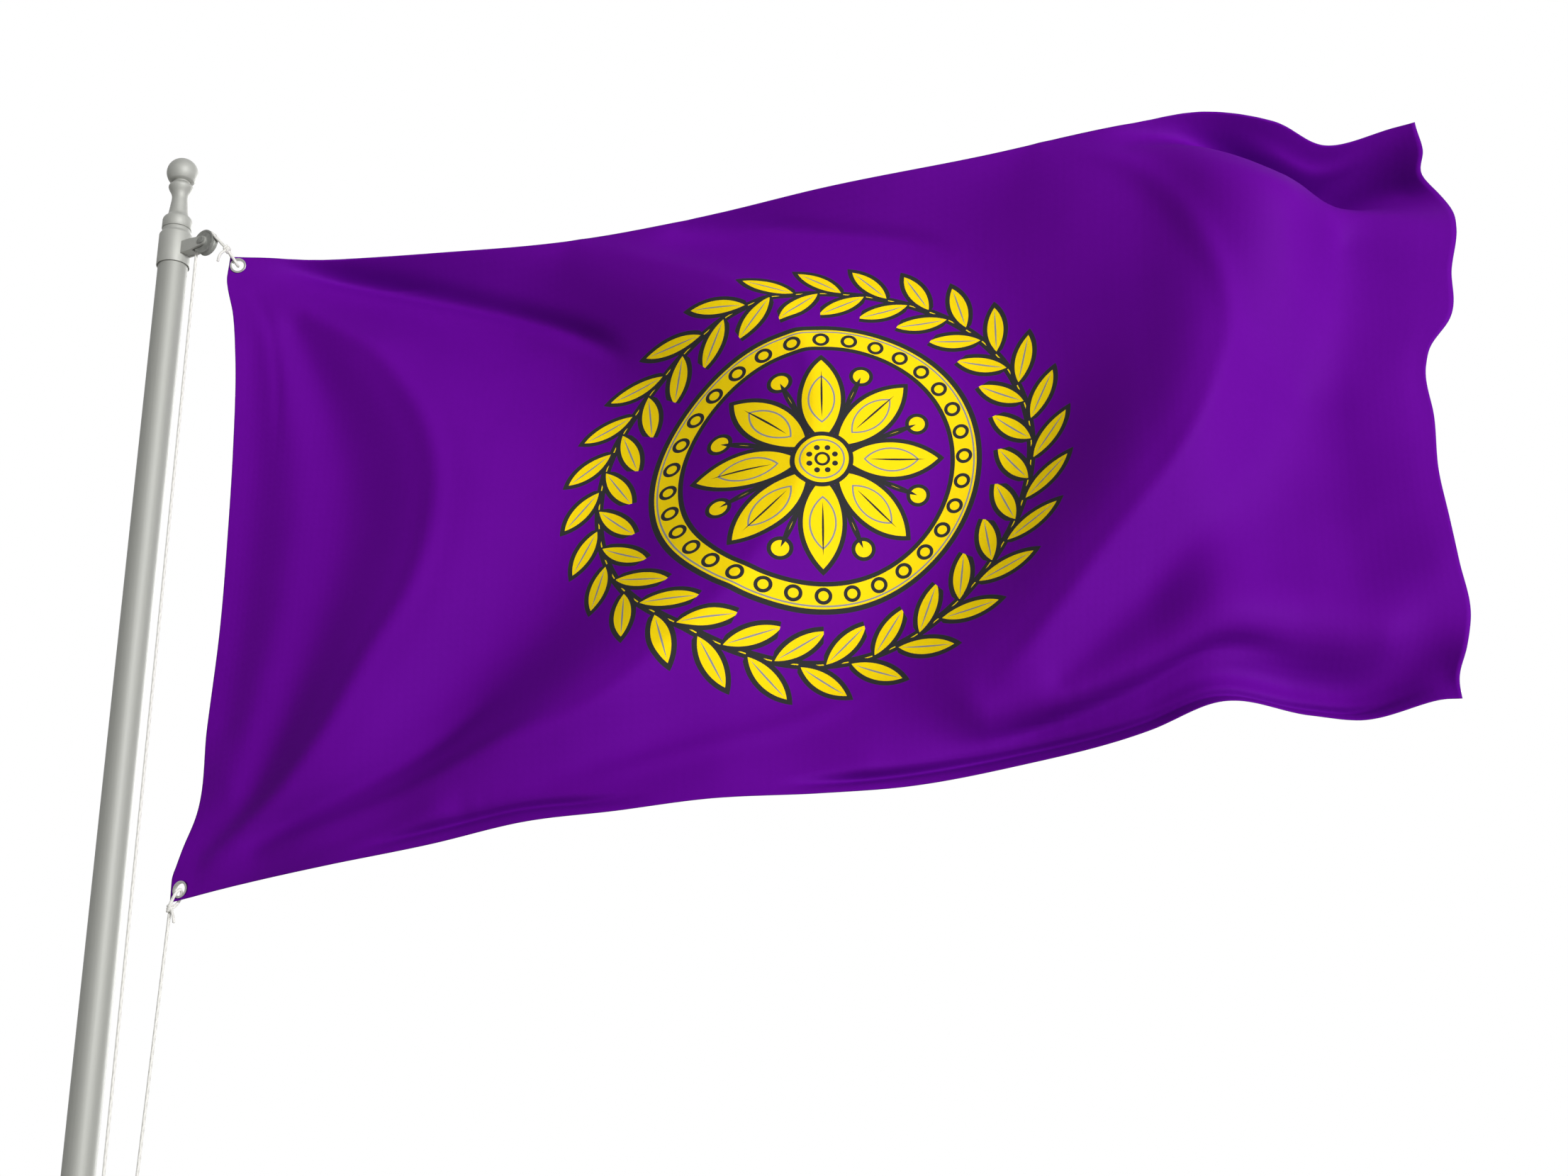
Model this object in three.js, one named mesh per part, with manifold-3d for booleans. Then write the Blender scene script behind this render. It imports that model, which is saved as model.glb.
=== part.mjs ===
// A church flag flying from a short standing pole, in millimetres, +Z up.
// The origin is at the centre of the underside of the round foot, on the pole's axis.
import * as THREE from 'three';
import { mergeVertices } from 'three/addons/utils/BufferGeometryUtils.js';
import Module from 'manifold-3d';

const wasm = await Module();
wasm.setup();

// Clearance between pieces that touch
const GAP = 0.3;

// Pole and its foot
const POLE = { radius: 20, wall: 2, sides: 40 };
const FOOT = { radius: 160, thickness: 10, chamfer: 2, socketRadius: 27, socketHeight: 60, sides: 40 };

// Heights of the fittings at the pole's head
const SLEEVE = { foot: 1587, shoulder: 1634, neck: 1638, top: 1643.4, radius: 22.3, neckRadius: 19.2 };
const POLE_TOP = 1624;
const FINIAL_BALL = { centre: 1733, radius: 21.3 };

// Pulley arm: its direction seen from above, and the pulley that it carries
const ARM_TURN = THREE.MathUtils.degToRad(-30);
const PULLEY = { reach: 58, height: 1608.5, radius: 17, grooveRadius: 13.4, width: 11, bore: 3.4 };
const CHEEK = { inner: 6, thickness: 3, rootHeight: 18, tipRadius: 6.5, blockEnd: 39 };
const PIN = { radius: 3, headRadius: 5, headThickness: 2.2 };

// Rope and its two tie points
const ROPE = { radius: 2, sides: 8 };
const BELAY = { height: 330, thickness: 4, width: 14, reach: 100, turn: THREE.MathUtils.degToRad(-26) };
const BELAY_HOLE = 2.8;
const BELAY_COLLAR = { radius: 26, height: 24 };
const HALYARD_REACH = 39;
const DOWNHAUL_REACH = 88;

// Cloth: its flat size and the weave's thickness as built
const CLOTH = { fly: 1620, drop: 886, thickness: 1.6, columns: 48, rows: 31, edgeCrowding: 0.1 };
const EYELET = { inner: 7.9, barrel: 8.8, flange: 10.8, seat: 1.3, lip: 2.1, fromHoist: 13, sides: 20 };
const EYELET_FALLS = { eyelet_top: 13, eyelet_bottom: 873 };

// Top edge of the cloth. Columns: share of the fly, x, y, height
const TOP_EDGE = [
  [0.00, 86, -31, 1586],
  [0.09, 224, -31, 1583],
  [0.19, 385, -61, 1577],
  [0.32, 588, -112, 1571],
  [0.42, 751, -168, 1576],
  [0.50, 880, -225, 1579],
  [0.635, 1087, -291, 1588],
  [0.75, 1260, -347, 1599],
  [0.81, 1350, -363, 1606],
  [0.865, 1435, -352, 1599],
  [0.92, 1509, -301, 1596],
  [0.98, 1589, -322, 1608],
  [1.00, 1612, -337, 1607],
];

// Bottom edge of the cloth. Columns: share of the fly, x, y, height
const BOTTOM_EDGE = [
  [0.00, 87, -31, 700],
  [0.055, 176, -76, 711],
  [0.14, 304, -158, 718],
  [0.215, 427, -219, 727],
  [0.29, 545, -281, 739],
  [0.36, 650, -322, 741],
  [0.42, 751, -347, 748],
  [0.495, 874, -363, 750],
  [0.56, 968, -383, 752],
  [0.645, 1085, -424, 764],
  [0.75, 1216, -506, 780],
  [0.80, 1277, -547, 797],
  [0.88, 1373, -547, 783],
  [0.915, 1418, -557, 775],
  [0.985, 1500, -588, 788],
  [1.00, 1514, -593, 787],
];

// How far the hoist and the fly edge bow sideways. Columns: share of the drop, shift in x
const HOIST_BOW = [
  [0, 0], [0.035, -2], [0.1, 11], [0.17, 19], [0.32, 27], [0.45, 30], [0.6, 31], [0.75, 26],
  [0.88, 22], [0.93, 8], [0.97, 0], [1, 0],
];
const FLY_BOW = [
  [0, 0], [0.05, 10], [0.09, 8], [0.13, 27], [0.18, 38], [0.22, 38], [0.3, 27], [0.39, 21],
  [0.44, -3], [0.47, -8], [0.56, -3], [0.65, -4], [0.72, 1], [0.8, 7], [0.88, 15], [0.93, 8],
  [0.96, 2], [1, 0],
];
const HOIST_BOW_REACH = 0.12;
const FLY_BOW_REACH = 0.08;

// Folds: a line of points for each crest or hollow.
// Columns of a line: share of the fly, share of the drop, depth towards the viewer
const FOLDS = {
  topEdge: [[0, 0, 0], [0.25, 0, 0], [0.5, 0, 0], [0.75, 0, 0], [1, 0, 0]],
  bottomEdge: [[0, 1, 0], [0.25, 1, 0], [0.5, 1, 0], [0.75, 1, 0], [1, 1, 0]],
  hoist: [[0, 0.06, 0], [0, 0.3, 0], [0, 0.5, 0], [0, 0.7, 0], [0, 0.94, 0]],
  fly: [[1, 0.05, -10], [1, 0.12, -20], [1, 0.2, 0], [1, 0.35, 5], [1, 0.5, -8], [1, 0.65, -4],
    [1, 0.8, 5], [1, 0.93, 0]],
  foot1: [[0.05, 0.07, 2], [0.1, 0.13, 10], [0.135, 0.175, 16], [0.165, 0.25, 20], [0.19, 0.34, 22],
    [0.2, 0.42, 22], [0.2, 0.5, 22], [0.187, 0.605, 22], [0.16, 0.695, 21], [0.13, 0.8, 18],
    [0.1, 0.865, 13], [0.033, 0.95, 4]],
  hollow1: [[0.05, 0.01, -4], [0.08, 0.018, -14], [0.11, 0.026, -25], [0.15, 0.04, -38],
    [0.2, 0.064, -50], [0.25, 0.096, -53], [0.29, 0.135, -47], [0.33, 0.19, -38], [0.36, 0.265, -31],
    [0.375, 0.35, -26], [0.375, 0.45, -25], [0.36, 0.54, -25], [0.32, 0.635, -27], [0.277, 0.735, -27],
    [0.235, 0.8, -24], [0.188, 0.865, -18], [0.133, 0.91, -11], [0.07, 0.955, -4]],
  foot2: [[0.31, 0.01, 2], [0.345, 0.05, 8], [0.39, 0.1, 14], [0.43, 0.15, 19], [0.47, 0.23, 23],
    [0.49, 0.32, 25], [0.495, 0.42, 26], [0.485, 0.52, 27], [0.46, 0.62, 28], [0.43, 0.7, 28],
    [0.39, 0.77, 26], [0.352, 0.83, 22], [0.316, 0.865, 18], [0.284, 0.89, 14], [0.25, 0.915, 10],
    [0.218, 0.94, 6]],
  hollow2: [[0.39, 0.01, -6], [0.43, 0.024, -17], [0.475, 0.046, -29], [0.523, 0.072, -38],
    [0.58, 0.107, -42], [0.62, 0.148, -41], [0.655, 0.2, -37], [0.685, 0.28, -33], [0.695, 0.36, -30],
    [0.69, 0.44, -28], [0.67, 0.53, -27], [0.63, 0.63, -26], [0.57, 0.73, -25], [0.52, 0.8, -24],
    [0.465, 0.85, -22], [0.43, 0.87, -20], [0.385, 0.885, -16], [0.35, 0.905, -12], [0.305, 0.93, -8],
    [0.25, 0.955, -4]],
  foot3: [[0.68, 0.01, 2], [0.71, 0.035, 4], [0.74, 0.07, 6], [0.775, 0.15, 11], [0.8, 0.25, 17],
    [0.815, 0.33, 21], [0.82, 0.42, 23], [0.81, 0.5, 26], [0.785, 0.6, 29], [0.75, 0.67, 30],
    [0.715, 0.73, 28], [0.685, 0.79, 25], [0.65, 0.85, 20], [0.61, 0.9, 14]],
  brow3: [[0.74, 0.05, 4], [0.78, 0.07, 8], [0.82, 0.095, 12], [0.86, 0.12, 16], [0.9, 0.135, 16],
    [0.935, 0.155, 14], [0.96, 0.175, 10], [0.985, 0.2, 6]],
  hollow3: [[0.75, 0.012, -4], [0.78, 0.022, -16], [0.81, 0.036, -36], [0.84, 0.048, -58],
    [0.87, 0.058, -74], [0.9, 0.066, -80], [0.93, 0.078, -76], [0.955, 0.094, -58], [0.985, 0.12, -34]],
  rightSwell: [[0.85, 0.8, -8], [0.895, 0.785, 2], [0.94, 0.785, 8], [0.985, 0.8, 8]],
  rightCrease: [[0.53, 0.96, -5], [0.57, 0.953, -12], [0.61, 0.952, -20], [0.65, 0.952, -27],
    [0.7, 0.948, -34], [0.75, 0.945, -42], [0.8, 0.942, -50], [0.85, 0.942, -50], [0.9, 0.945, -46],
    [0.95, 0.955, -34], [0.99, 0.96, -16]],
  leftCrease: [[0.24, 0.96, -5], [0.28, 0.957, -10], [0.33, 0.957, -13], [0.38, 0.96, -11],
    [0.43, 0.962, -7]],
  hoistCrease: [[0.02, 0.15, -2], [0.03, 0.35, -3], [0.03, 0.55, -3], [0.025, 0.75, -2]],
  hoistRidge: [[0.03, 0.1, 1], [0.06, 0.25, 4], [0.075, 0.42, 5], [0.07, 0.58, 5], [0.055, 0.72, 4],
    [0.035, 0.86, 2]],
  hoistHollow: [[0.06, 0.12, -2], [0.1, 0.27, -4], [0.125, 0.42, -5], [0.12, 0.56, -5],
    [0.095, 0.72, -4], [0.06, 0.86, -3], [0.02, 0.95, -1]],
  flyHollow: [[0.68, 0.895, 3], [0.72, 0.85, -6], [0.77, 0.78, -16], [0.82, 0.69, -20],
    [0.86, 0.59, -15], [0.885, 0.5, -9]],
  rightLip: [[0.62, 0.925, 5], [0.68, 0.92, -2], [0.74, 0.905, -10], [0.8, 0.89, -14],
    [0.87, 0.885, -6], [0.94, 0.89, 2]],
  flyLevel: [[0.925, 0.22, 20], [0.93, 0.4, 17], [0.93, 0.6, 8], [0.93, 0.7, 8]],
};
// Spacing of the points taken along a fold, and how loosely the sheet follows them
const FOLD_STEP = 24;
const FOLD_SLACK = 5e-5;

// Finishes
const ALUMINIUM = { color: 0xb9b7b0, roughness: 0.38, metalness: 0.9 };
const DARK_STEEL = { color: 0x7d7f80, roughness: 0.45, metalness: 0.8 };
const NICKEL = { color: 0xc4c4c2, roughness: 0.3, metalness: 1 };
const PURPLE_POLYESTER = { color: 0x5c0b8b, roughness: 0.75, metalness: 0, side: THREE.DoubleSide };
const WHITE_ROPE = { color: 0xe8e6e0, roughness: 0.85, metalness: 0 };

const flag = new THREE.Group();

function addPiece(name, geometry, finish) {
  const mesh = new THREE.Mesh(geometry, new THREE.MeshStandardMaterial(finish));
  mesh.name = name;
  flag.add(mesh);
  return mesh;
}

// Solid joins and cuts

function toSolid(geometry) {
  const bare = geometry.clone();
  bare.deleteAttribute('normal');
  bare.deleteAttribute('uv');
  const merged = mergeVertices(bare, 1e-4);
  return new wasm.Manifold(new wasm.Mesh({
    numProp: 3,
    vertProperties: new Float32Array(merged.attributes.position.array),
    triVerts: new Uint32Array(merged.index.array),
  }));
}

function toGeometry(solid) {
  const mesh = solid.getMesh();
  const geometry = new THREE.BufferGeometry();
  geometry.setAttribute('position', new THREE.BufferAttribute(new Float32Array(mesh.vertProperties), 3));
  geometry.setIndex(new THREE.BufferAttribute(new Uint32Array(mesh.triVerts), 1));
  geometry.computeVertexNormals();
  return geometry;
}

function joined(geometries) {
  return toGeometry(geometries.map(toSolid).reduce((whole, piece) => whole.add(piece)));
}

function cut(geometry, tools) {
  return toGeometry(tools.map(toSolid).reduce((whole, tool) => whole.subtract(tool), toSolid(geometry)));
}

// Round shapes

function turned(profile, sides) {
  const geometry = new THREE.LatheGeometry(profile.map(([r, z]) => new THREE.Vector2(r, z)), sides);
  return geometry.rotateX(Math.PI / 2);
}

function rod(radius, from, to, sides) {
  return turned([[0, from], [radius, from], [radius, to], [0, to]], sides);
}

function ropeTube(points, closed = false) {
  const curve = new THREE.CatmullRomCurve3(points, closed, 'centripetal');
  curve.getPointAt = (share, target) => curve.getPoint(share, target);
  curve.getTangentAt = (share, target) => curve.getTangent(share, target);
  const section = new THREE.Shape();
  for (let side = 0; side < ROPE.sides; side += 1) {
    const angle = (2 * Math.PI * side) / ROPE.sides;
    const corner = [ROPE.radius * Math.cos(angle), ROPE.radius * Math.sin(angle)];
    if (side === 0) section.moveTo(...corner);
    else section.lineTo(...corner);
  }
  const steps = 2 * (closed ? points.length : points.length - 1);
  return new THREE.ExtrudeGeometry(section, { steps, bevelEnabled: false, extrudePath: curve });
}

// A point at a distance along a horizontal direction, a side step and a height
function alongArm(turn, reach, height, side = 0) {
  return new THREE.Vector3(
    reach * Math.cos(turn) - side * Math.sin(turn),
    reach * Math.sin(turn) + side * Math.cos(turn),
    height,
  );
}

// The cloth's surface

// Smooth curve through a table's rows; the first column is the place along it
function smoothColumn(table, column, place) {
  let row = 0;
  while (row < table.length - 2 && place > table[row + 1][0]) row += 1;
  const slope = (i) => (table[i + 1][column] - table[i][column]) / (table[i + 1][0] - table[i][0]);
  const span = (i) => table[i + 1][0] - table[i][0];
  const tangent = (i) => {
    if (i === 0) return slope(0);
    if (i === table.length - 1) return slope(i - 1);
    return (slope(i - 1) * span(i) + slope(i) * span(i - 1)) / (span(i - 1) + span(i));
  };
  const width = span(row);
  const t = (place - table[row][0]) / width;
  return (2 * t ** 3 - 3 * t ** 2 + 1) * table[row][column]
    + (t ** 3 - 2 * t ** 2 + t) * width * tangent(row)
    + (3 * t ** 2 - 2 * t ** 3) * table[row + 1][column]
    + (t ** 3 - t ** 2) * width * tangent(row + 1);
}

// Points spaced evenly along one fold line
function foldPoints(line) {
  let length = 0;
  const table = line.map((point, i) => {
    if (i > 0) {
      const step = [(point[0] - line[i - 1][0]) * CLOTH.fly, (point[1] - line[i - 1][1]) * CLOTH.drop];
      length += Math.hypot(...step);
    }
    return [length, ...point];
  });
  const count = Math.max(4, Math.floor(length / FOLD_STEP) + 1);
  return Array.from({ length: count }, (_, i) => {
    const place = (length * i) / (count - 1);
    return [1, 2, 3].map((column) => smoothColumn(table, column, place));
  });
}

// Bending energy of a thin sheet between two points, in metres
function bend(dx, dy) {
  const square = dx * dx + dy * dy;
  return square > 0 ? square * Math.log(square) : 0;
}

function solve(matrix, right) {
  const size = right.length;
  for (let pivot = 0; pivot < size; pivot += 1) {
    let best = pivot;
    for (let row = pivot + 1; row < size; row += 1) {
      if (Math.abs(matrix[row][pivot]) > Math.abs(matrix[best][pivot])) best = row;
    }
    [matrix[pivot], matrix[best]] = [matrix[best], matrix[pivot]];
    [right[pivot], right[best]] = [right[best], right[pivot]];
    for (let row = pivot + 1; row < size; row += 1) {
      const factor = matrix[row][pivot] / matrix[pivot][pivot];
      for (let column = pivot; column < size; column += 1) {
        matrix[row][column] -= factor * matrix[pivot][column];
      }
      right[row] -= factor * right[pivot];
    }
  }
  const answer = new Array(size).fill(0);
  for (let row = size - 1; row >= 0; row -= 1) {
    let sum = right[row];
    for (let column = row + 1; column < size; column += 1) sum -= matrix[row][column] * answer[column];
    answer[row] = sum / matrix[row][row];
  }
  return answer;
}

// The relief that bends least through all fold points
const foldNodes = Object.values(FOLDS).flatMap(foldPoints)
  .map(([share, fall, depth]) => [share * CLOTH.fly / 1000, fall * CLOTH.drop / 1000, depth]);

function fitRelief() {
  const count = foldNodes.length;
  const matrix = foldNodes.map(([x, y], i) => [
    ...foldNodes.map(([u, v], j) => bend(x - u, y - v) + (i === j ? FOLD_SLACK : 0)), 1, x, y,
  ]);
  [() => 1, (node) => node[0], (node) => node[1]].forEach((term) => {
    matrix.push([...foldNodes.map(term), 0, 0, 0]);
  });
  const right = [...foldNodes.map((node) => node[2]), 0, 0, 0];
  const weights = solve(matrix, right);
  return (x, y) => {
    let depth = weights[count] + weights[count + 1] * x + weights[count + 2] * y;
    for (let i = 0; i < count; i += 1) {
      depth += weights[i] * bend(x - foldNodes[i][0], y - foldNodes[i][1]);
    }
    return depth;
  };
}

const relief = fitRelief();

// A point of the hanging cloth, by its share of the fly and of the drop
function drapedPoint(share, fall) {
  const [top, bottom] = [TOP_EDGE, BOTTOM_EDGE].map((edge) => (
    new THREE.Vector3(...[1, 2, 3].map((column) => smoothColumn(edge, column, share)))
  ));
  const point = top.lerp(bottom, fall);
  point.x += smoothColumn(HOIST_BOW, 1, fall) * Math.max(0, 1 - share / HOIST_BOW_REACH) ** 2;
  point.x += smoothColumn(FLY_BOW, 1, fall) * Math.max(0, 1 - (1 - share) / FLY_BOW_REACH) ** 2;
  point.y -= relief(share * CLOTH.fly / 1000, fall * CLOTH.drop / 1000);
  return point;
}

function slopesAt(share, fall) {
  const step = 1e-3;
  const across = drapedPoint(share + step, fall).sub(drapedPoint(share - step, fall)).divideScalar(2 * step);
  const down = drapedPoint(share, fall + step).sub(drapedPoint(share, fall - step)).divideScalar(2 * step);
  return { across, down };
}

// The plane in which the cloth lies round each eyelet
const EYELET_FLAT = { inner: 14, outer: 34 };
const eyeletPlanes = Object.entries(EYELET_FALLS).map(([name, fallLength]) => {
  const share = EYELET.fromHoist / CLOTH.fly;
  const fall = fallLength / CLOTH.drop;
  const { across, down } = slopesAt(share, fall);
  const centre = drapedPoint(share, fall);
  const normal = across.clone().cross(down).negate().normalize();
  return { name, share, fall, across, down, centre, normal };
});

function clothPoint(share, fall) {
  const point = drapedPoint(share, fall);
  eyeletPlanes.forEach((plane) => {
    const offset = [share - plane.share, fall - plane.fall];
    const distance = Math.hypot(offset[0] * CLOTH.fly, offset[1] * CLOTH.drop);
    const flat = 1 - THREE.MathUtils.smoothstep(distance, EYELET_FLAT.inner, EYELET_FLAT.outer);
    if (flat > 0) {
      const level = plane.centre.clone()
        .addScaledVector(plane.across, offset[0])
        .addScaledVector(plane.down, offset[1]);
      point.lerp(level, flat);
    }
  });
  return point;
}

// The cloth as one closed sheet: a front face, a back face and the hem's edge between them
function clothSheet() {
  const { columns, rows, thickness, edgeCrowding } = CLOTH;
  const middle = [];
  for (let i = 0; i < columns; i += 1) {
    for (let j = 0; j < rows; j += 1) {
      const even = j / (rows - 1);
      middle.push(clothPoint(i / (columns - 1), even - edgeCrowding * Math.sin(2 * Math.PI * even)));
    }
  }
  const index = (i, j) => i * rows + j;
  const clampTo = (value, count) => Math.min(Math.max(value, 0), count - 1);
  const positions = [];
  for (const side of [1, -1]) {
    for (let i = 0; i < columns; i += 1) {
      for (let j = 0; j < rows; j += 1) {
        const across = middle[index(clampTo(i + 1, columns), j)].clone()
          .sub(middle[index(clampTo(i - 1, columns), j)]);
        const down = middle[index(i, clampTo(j + 1, rows))].clone()
          .sub(middle[index(i, clampTo(j - 1, rows))]);
        const normal = across.cross(down).negate().normalize();
        const point = middle[index(i, j)].clone().addScaledVector(normal, (side * thickness) / 2);
        positions.push(...point.toArray());
      }
    }
  }
  const back = columns * rows;
  const faces = [];
  const quad = (a, b, c, d) => faces.push(a, b, c, a, c, d);
  for (let i = 0; i < columns - 1; i += 1) {
    for (let j = 0; j < rows - 1; j += 1) {
      quad(index(i, j), index(i, j + 1), index(i + 1, j + 1), index(i + 1, j));
      quad(back + index(i, j), back + index(i + 1, j), back + index(i + 1, j + 1), back + index(i, j + 1));
    }
  }
  const rim = [];
  for (let j = 0; j < rows - 1; j += 1) rim.push(index(0, j));
  for (let i = 0; i < columns - 1; i += 1) rim.push(index(i, rows - 1));
  for (let j = rows - 1; j > 0; j -= 1) rim.push(index(columns - 1, j));
  for (let i = columns - 1; i > 0; i -= 1) rim.push(index(i, 0));
  rim.forEach((here, k) => {
    const next = rim[(k + 1) % rim.length];
    quad(here, here + back, next + back, next);
  });
  const geometry = new THREE.BufferGeometry();
  geometry.setAttribute('position', new THREE.Float32BufferAttribute(positions, 3));
  geometry.setIndex(faces);
  return geometry;
}

// A shape turned about +Z, moved so that its axis is an eyelet's
function atEyelet(geometry, plane) {
  const turn = new THREE.Quaternion().setFromUnitVectors(new THREE.Vector3(0, 0, 1), plane.normal);
  return geometry.applyQuaternion(turn).translate(...plane.centre.toArray());
}

function makeCloth() {
  const hole = EYELET.barrel + 0.4;
  const holes = eyeletPlanes.map((plane) => atEyelet(rod(hole, -6, 6, EYELET.sides), plane));
  addPiece('flag', cut(clothSheet(), holes), PURPLE_POLYESTER);
}

function makeEyelets() {
  const { inner, barrel, flange, seat, lip, sides } = EYELET;
  const profile = [
    [inner, -lip + 0.6], [inner + 0.6, -lip], [flange - 0.5, -lip], [flange, -seat], [barrel, -seat],
    [barrel, seat], [flange, seat], [flange - 0.5, lip], [inner + 0.6, lip], [inner, lip - 0.6],
    [inner, -lip + 0.6],
  ];
  eyeletPlanes.forEach((plane) => {
    addPiece(plane.name, atEyelet(turned(profile, sides), plane), NICKEL);
  });
}

// Pole and foot

function makePole() {
  const inside = POLE.radius - POLE.wall;
  const start = FOOT.thickness + GAP;
  const profile = [
    [inside, start], [POLE.radius, start], [POLE.radius, POLE_TOP], [inside, POLE_TOP], [inside, start],
  ];
  addPiece('pole', turned(profile, POLE.sides), ALUMINIUM);
}

function makeFoot() {
  const { radius, thickness, chamfer, socketRadius, socketHeight, sides } = FOOT;
  const bore = POLE.radius + 2 * GAP;
  const profile = [
    [0, 0], [radius, 0], [radius, thickness - chamfer], [radius - chamfer, thickness],
    [socketRadius + 4, thickness], [socketRadius, thickness + 4], [socketRadius, socketHeight - chamfer],
    [socketRadius - chamfer, socketHeight], [bore, socketHeight], [bore, thickness], [0, thickness],
  ];
  addPiece('foot', turned(profile, sides), DARK_STEEL);
}

// Head fittings

function makeTruck() {
  const bore = POLE.radius + 2 * GAP;
  const { foot, shoulder, neck, top, radius, neckRadius } = SLEEVE;
  const sleeve = turned([
    [bore, foot], [radius, foot], [radius, shoulder], [neckRadius, neck], [neckRadius, top], [0, top],
    [0, POLE_TOP + GAP], [bore, POLE_TOP + GAP], [bore, foot],
  ], POLE.sides);
  const outline = new THREE.Shape();
  const half = CHEEK.rootHeight / 2;
  outline.moveTo(radius - 1, -half);
  outline.lineTo(CHEEK.blockEnd - 4, -half);
  outline.lineTo(PULLEY.reach + 1, -CHEEK.tipRadius);
  outline.absarc(PULLEY.reach, 0, CHEEK.tipRadius, -Math.PI / 2, Math.PI / 2, false);
  outline.lineTo(CHEEK.blockEnd - 4, half);
  outline.lineTo(radius - 1, half);
  const plate = (length, from) => new THREE.ExtrudeGeometry(length, {
    depth: from, bevelEnabled: false, curveSegments: 8,
  });
  const cheeks = [-1, 1].map((side) => {
    const cheek = plate(outline, CHEEK.thickness);
    return cheek.translate(0, 0, side > 0 ? CHEEK.inner : -CHEEK.inner - CHEEK.thickness);
  });
  const block = new THREE.BoxGeometry(CHEEK.blockEnd - radius + 1, CHEEK.rootHeight - 1, 2 * CHEEK.inner + 1);
  block.translate((CHEEK.blockEnd + radius - 1) / 2, 0, 0);
  const upright = (geometry) => geometry.rotateX(Math.PI / 2).rotateZ(ARM_TURN).translate(0, 0, PULLEY.height);
  const fork = [...cheeks, block].map(upright);
  const pinHole = upright(rod(PIN.radius + GAP, -20, 20, 24).translate(PULLEY.reach, 0, 0));
  addPiece('truck', cut(joined([sleeve, ...fork]), [pinHole]), ALUMINIUM);
}

// Moves a shape turned about +Z so that its axis is the pulley's
function onPulleyAxis(geometry) {
  const centre = alongArm(ARM_TURN, PULLEY.reach, PULLEY.height);
  return geometry.rotateX(Math.PI / 2).rotateZ(ARM_TURN).translate(...centre.toArray());
}

function makePulley() {
  const { radius, grooveRadius, width, bore } = PULLEY;
  const half = width / 2;
  const profile = [
    [bore, -half], [radius - 0.6, -half], [radius, -half + 0.3], [radius, -half + 0.7],
    [grooveRadius + 0.6, -2.6], [grooveRadius, -1.6], [grooveRadius, 1.6], [grooveRadius + 0.6, 2.6],
    [radius, half - 0.7], [radius, half - 0.3], [radius - 0.6, half], [bore, half], [bore, -half],
  ];
  addPiece('pulley', onPulleyAxis(turned(profile, 28)), DARK_STEEL);
  const shank = CHEEK.inner + CHEEK.thickness + GAP;
  const head = shank + PIN.headThickness;
  const pin = turned([
    [0, -head], [PIN.headRadius - 0.8, -head], [PIN.headRadius, -head + 0.8], [PIN.headRadius, -shank],
    [PIN.radius, -shank], [PIN.radius, shank], [PIN.headRadius, shank], [PIN.headRadius, head - 0.8],
    [PIN.headRadius - 0.8, head], [0, head],
  ], 20);
  addPiece('pulley_pin', onPulleyAxis(pin), NICKEL);
}

function makeFinial() {
  const start = SLEEVE.top + GAP;
  const profile = [
    [0, start], [20, start], [20, 1657], [19, 1660], [14, 1666], [13, 1670], [11.6, 1682], [10.7, 1693],
    [12, 1699], [15.6, 1706], [16.6, 1709.5], [15.6, 1712.5], [11.8, 1716.5], [11.4, 1718.5],
  ];
  const first = Math.asin(-(FINIAL_BALL.centre - 1719.5) / FINIAL_BALL.radius);
  const bands = 11;
  for (let band = 1; band < bands; band += 1) {
    const angle = first + ((Math.PI / 2 - first) * band) / bands;
    profile.push([
      FINIAL_BALL.radius * Math.cos(angle), FINIAL_BALL.centre + FINIAL_BALL.radius * Math.sin(angle),
    ]);
  }
  profile.push([0, FINIAL_BALL.centre + FINIAL_BALL.radius]);
  addPiece('finial', turned(profile, 24), ALUMINIUM);
}

// Ropes

// Knots: where each one sits, and the loop that it draws tight through its eyelet
const KNOT = { radius: 4.8, halfLoop: 6, drawnIn: 4 };
const KNOT_TOP = new THREE.Vector3(83, -39, 1593);
const KNOT_BOTTOM = new THREE.Vector3(89, -36, 692);
const TAIL_TOP = [[80, -42, 1589], [77, -45, 1584], [75, -47, 1577], [74, -47, 1571]];
const TAIL_BOTTOM = [[91, -39, 689], [94, -42, 684], [96, -43, 678], [97, -43, 673]];
// Angle past the top of the pulley at which the rope leaves it, from the arm's own direction
const ROPE_LEAVES = THREE.MathUtils.degToRad(38);

// The line that lifts the flag: up beside the pole, over the pulley and down to the top knot
function halyardRoute() {
  const wrap = PULLEY.grooveRadius + ROPE.radius + GAP;
  const start = alongArm(BELAY.turn, HALYARD_REACH, 320.9);
  const lift = alongArm(ARM_TURN, PULLEY.reach - wrap, PULLEY.height);
  const points = [];
  for (const height of [320.9, 352, 420, 520, 630, 740, 850, 960, 1070, 1180, 1290, 1390, 1470, 1530, 1570, 1594]) {
    const share = (height - start.z) / (lift.z - start.z);
    points.push(start.clone().lerp(lift, share).setZ(height));
  }
  const turns = 9;
  for (let turn = 0; turn <= turns; turn += 1) {
    const angle = Math.PI - ((Math.PI - ROPE_LEAVES) * turn) / turns;
    const reach = PULLEY.reach + wrap * Math.cos(angle);
    points.push(alongArm(ARM_TURN, reach, PULLEY.height + wrap * Math.sin(angle)));
  }
  const last = points[points.length - 1];
  const towards = KNOT_TOP.clone().sub(last);
  const end = KNOT_TOP.clone().addScaledVector(towards.normalize(), -(KNOT.radius + 0.5));
  points.push(last.clone().lerp(end, 0.5), end);
  return points;
}

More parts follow.
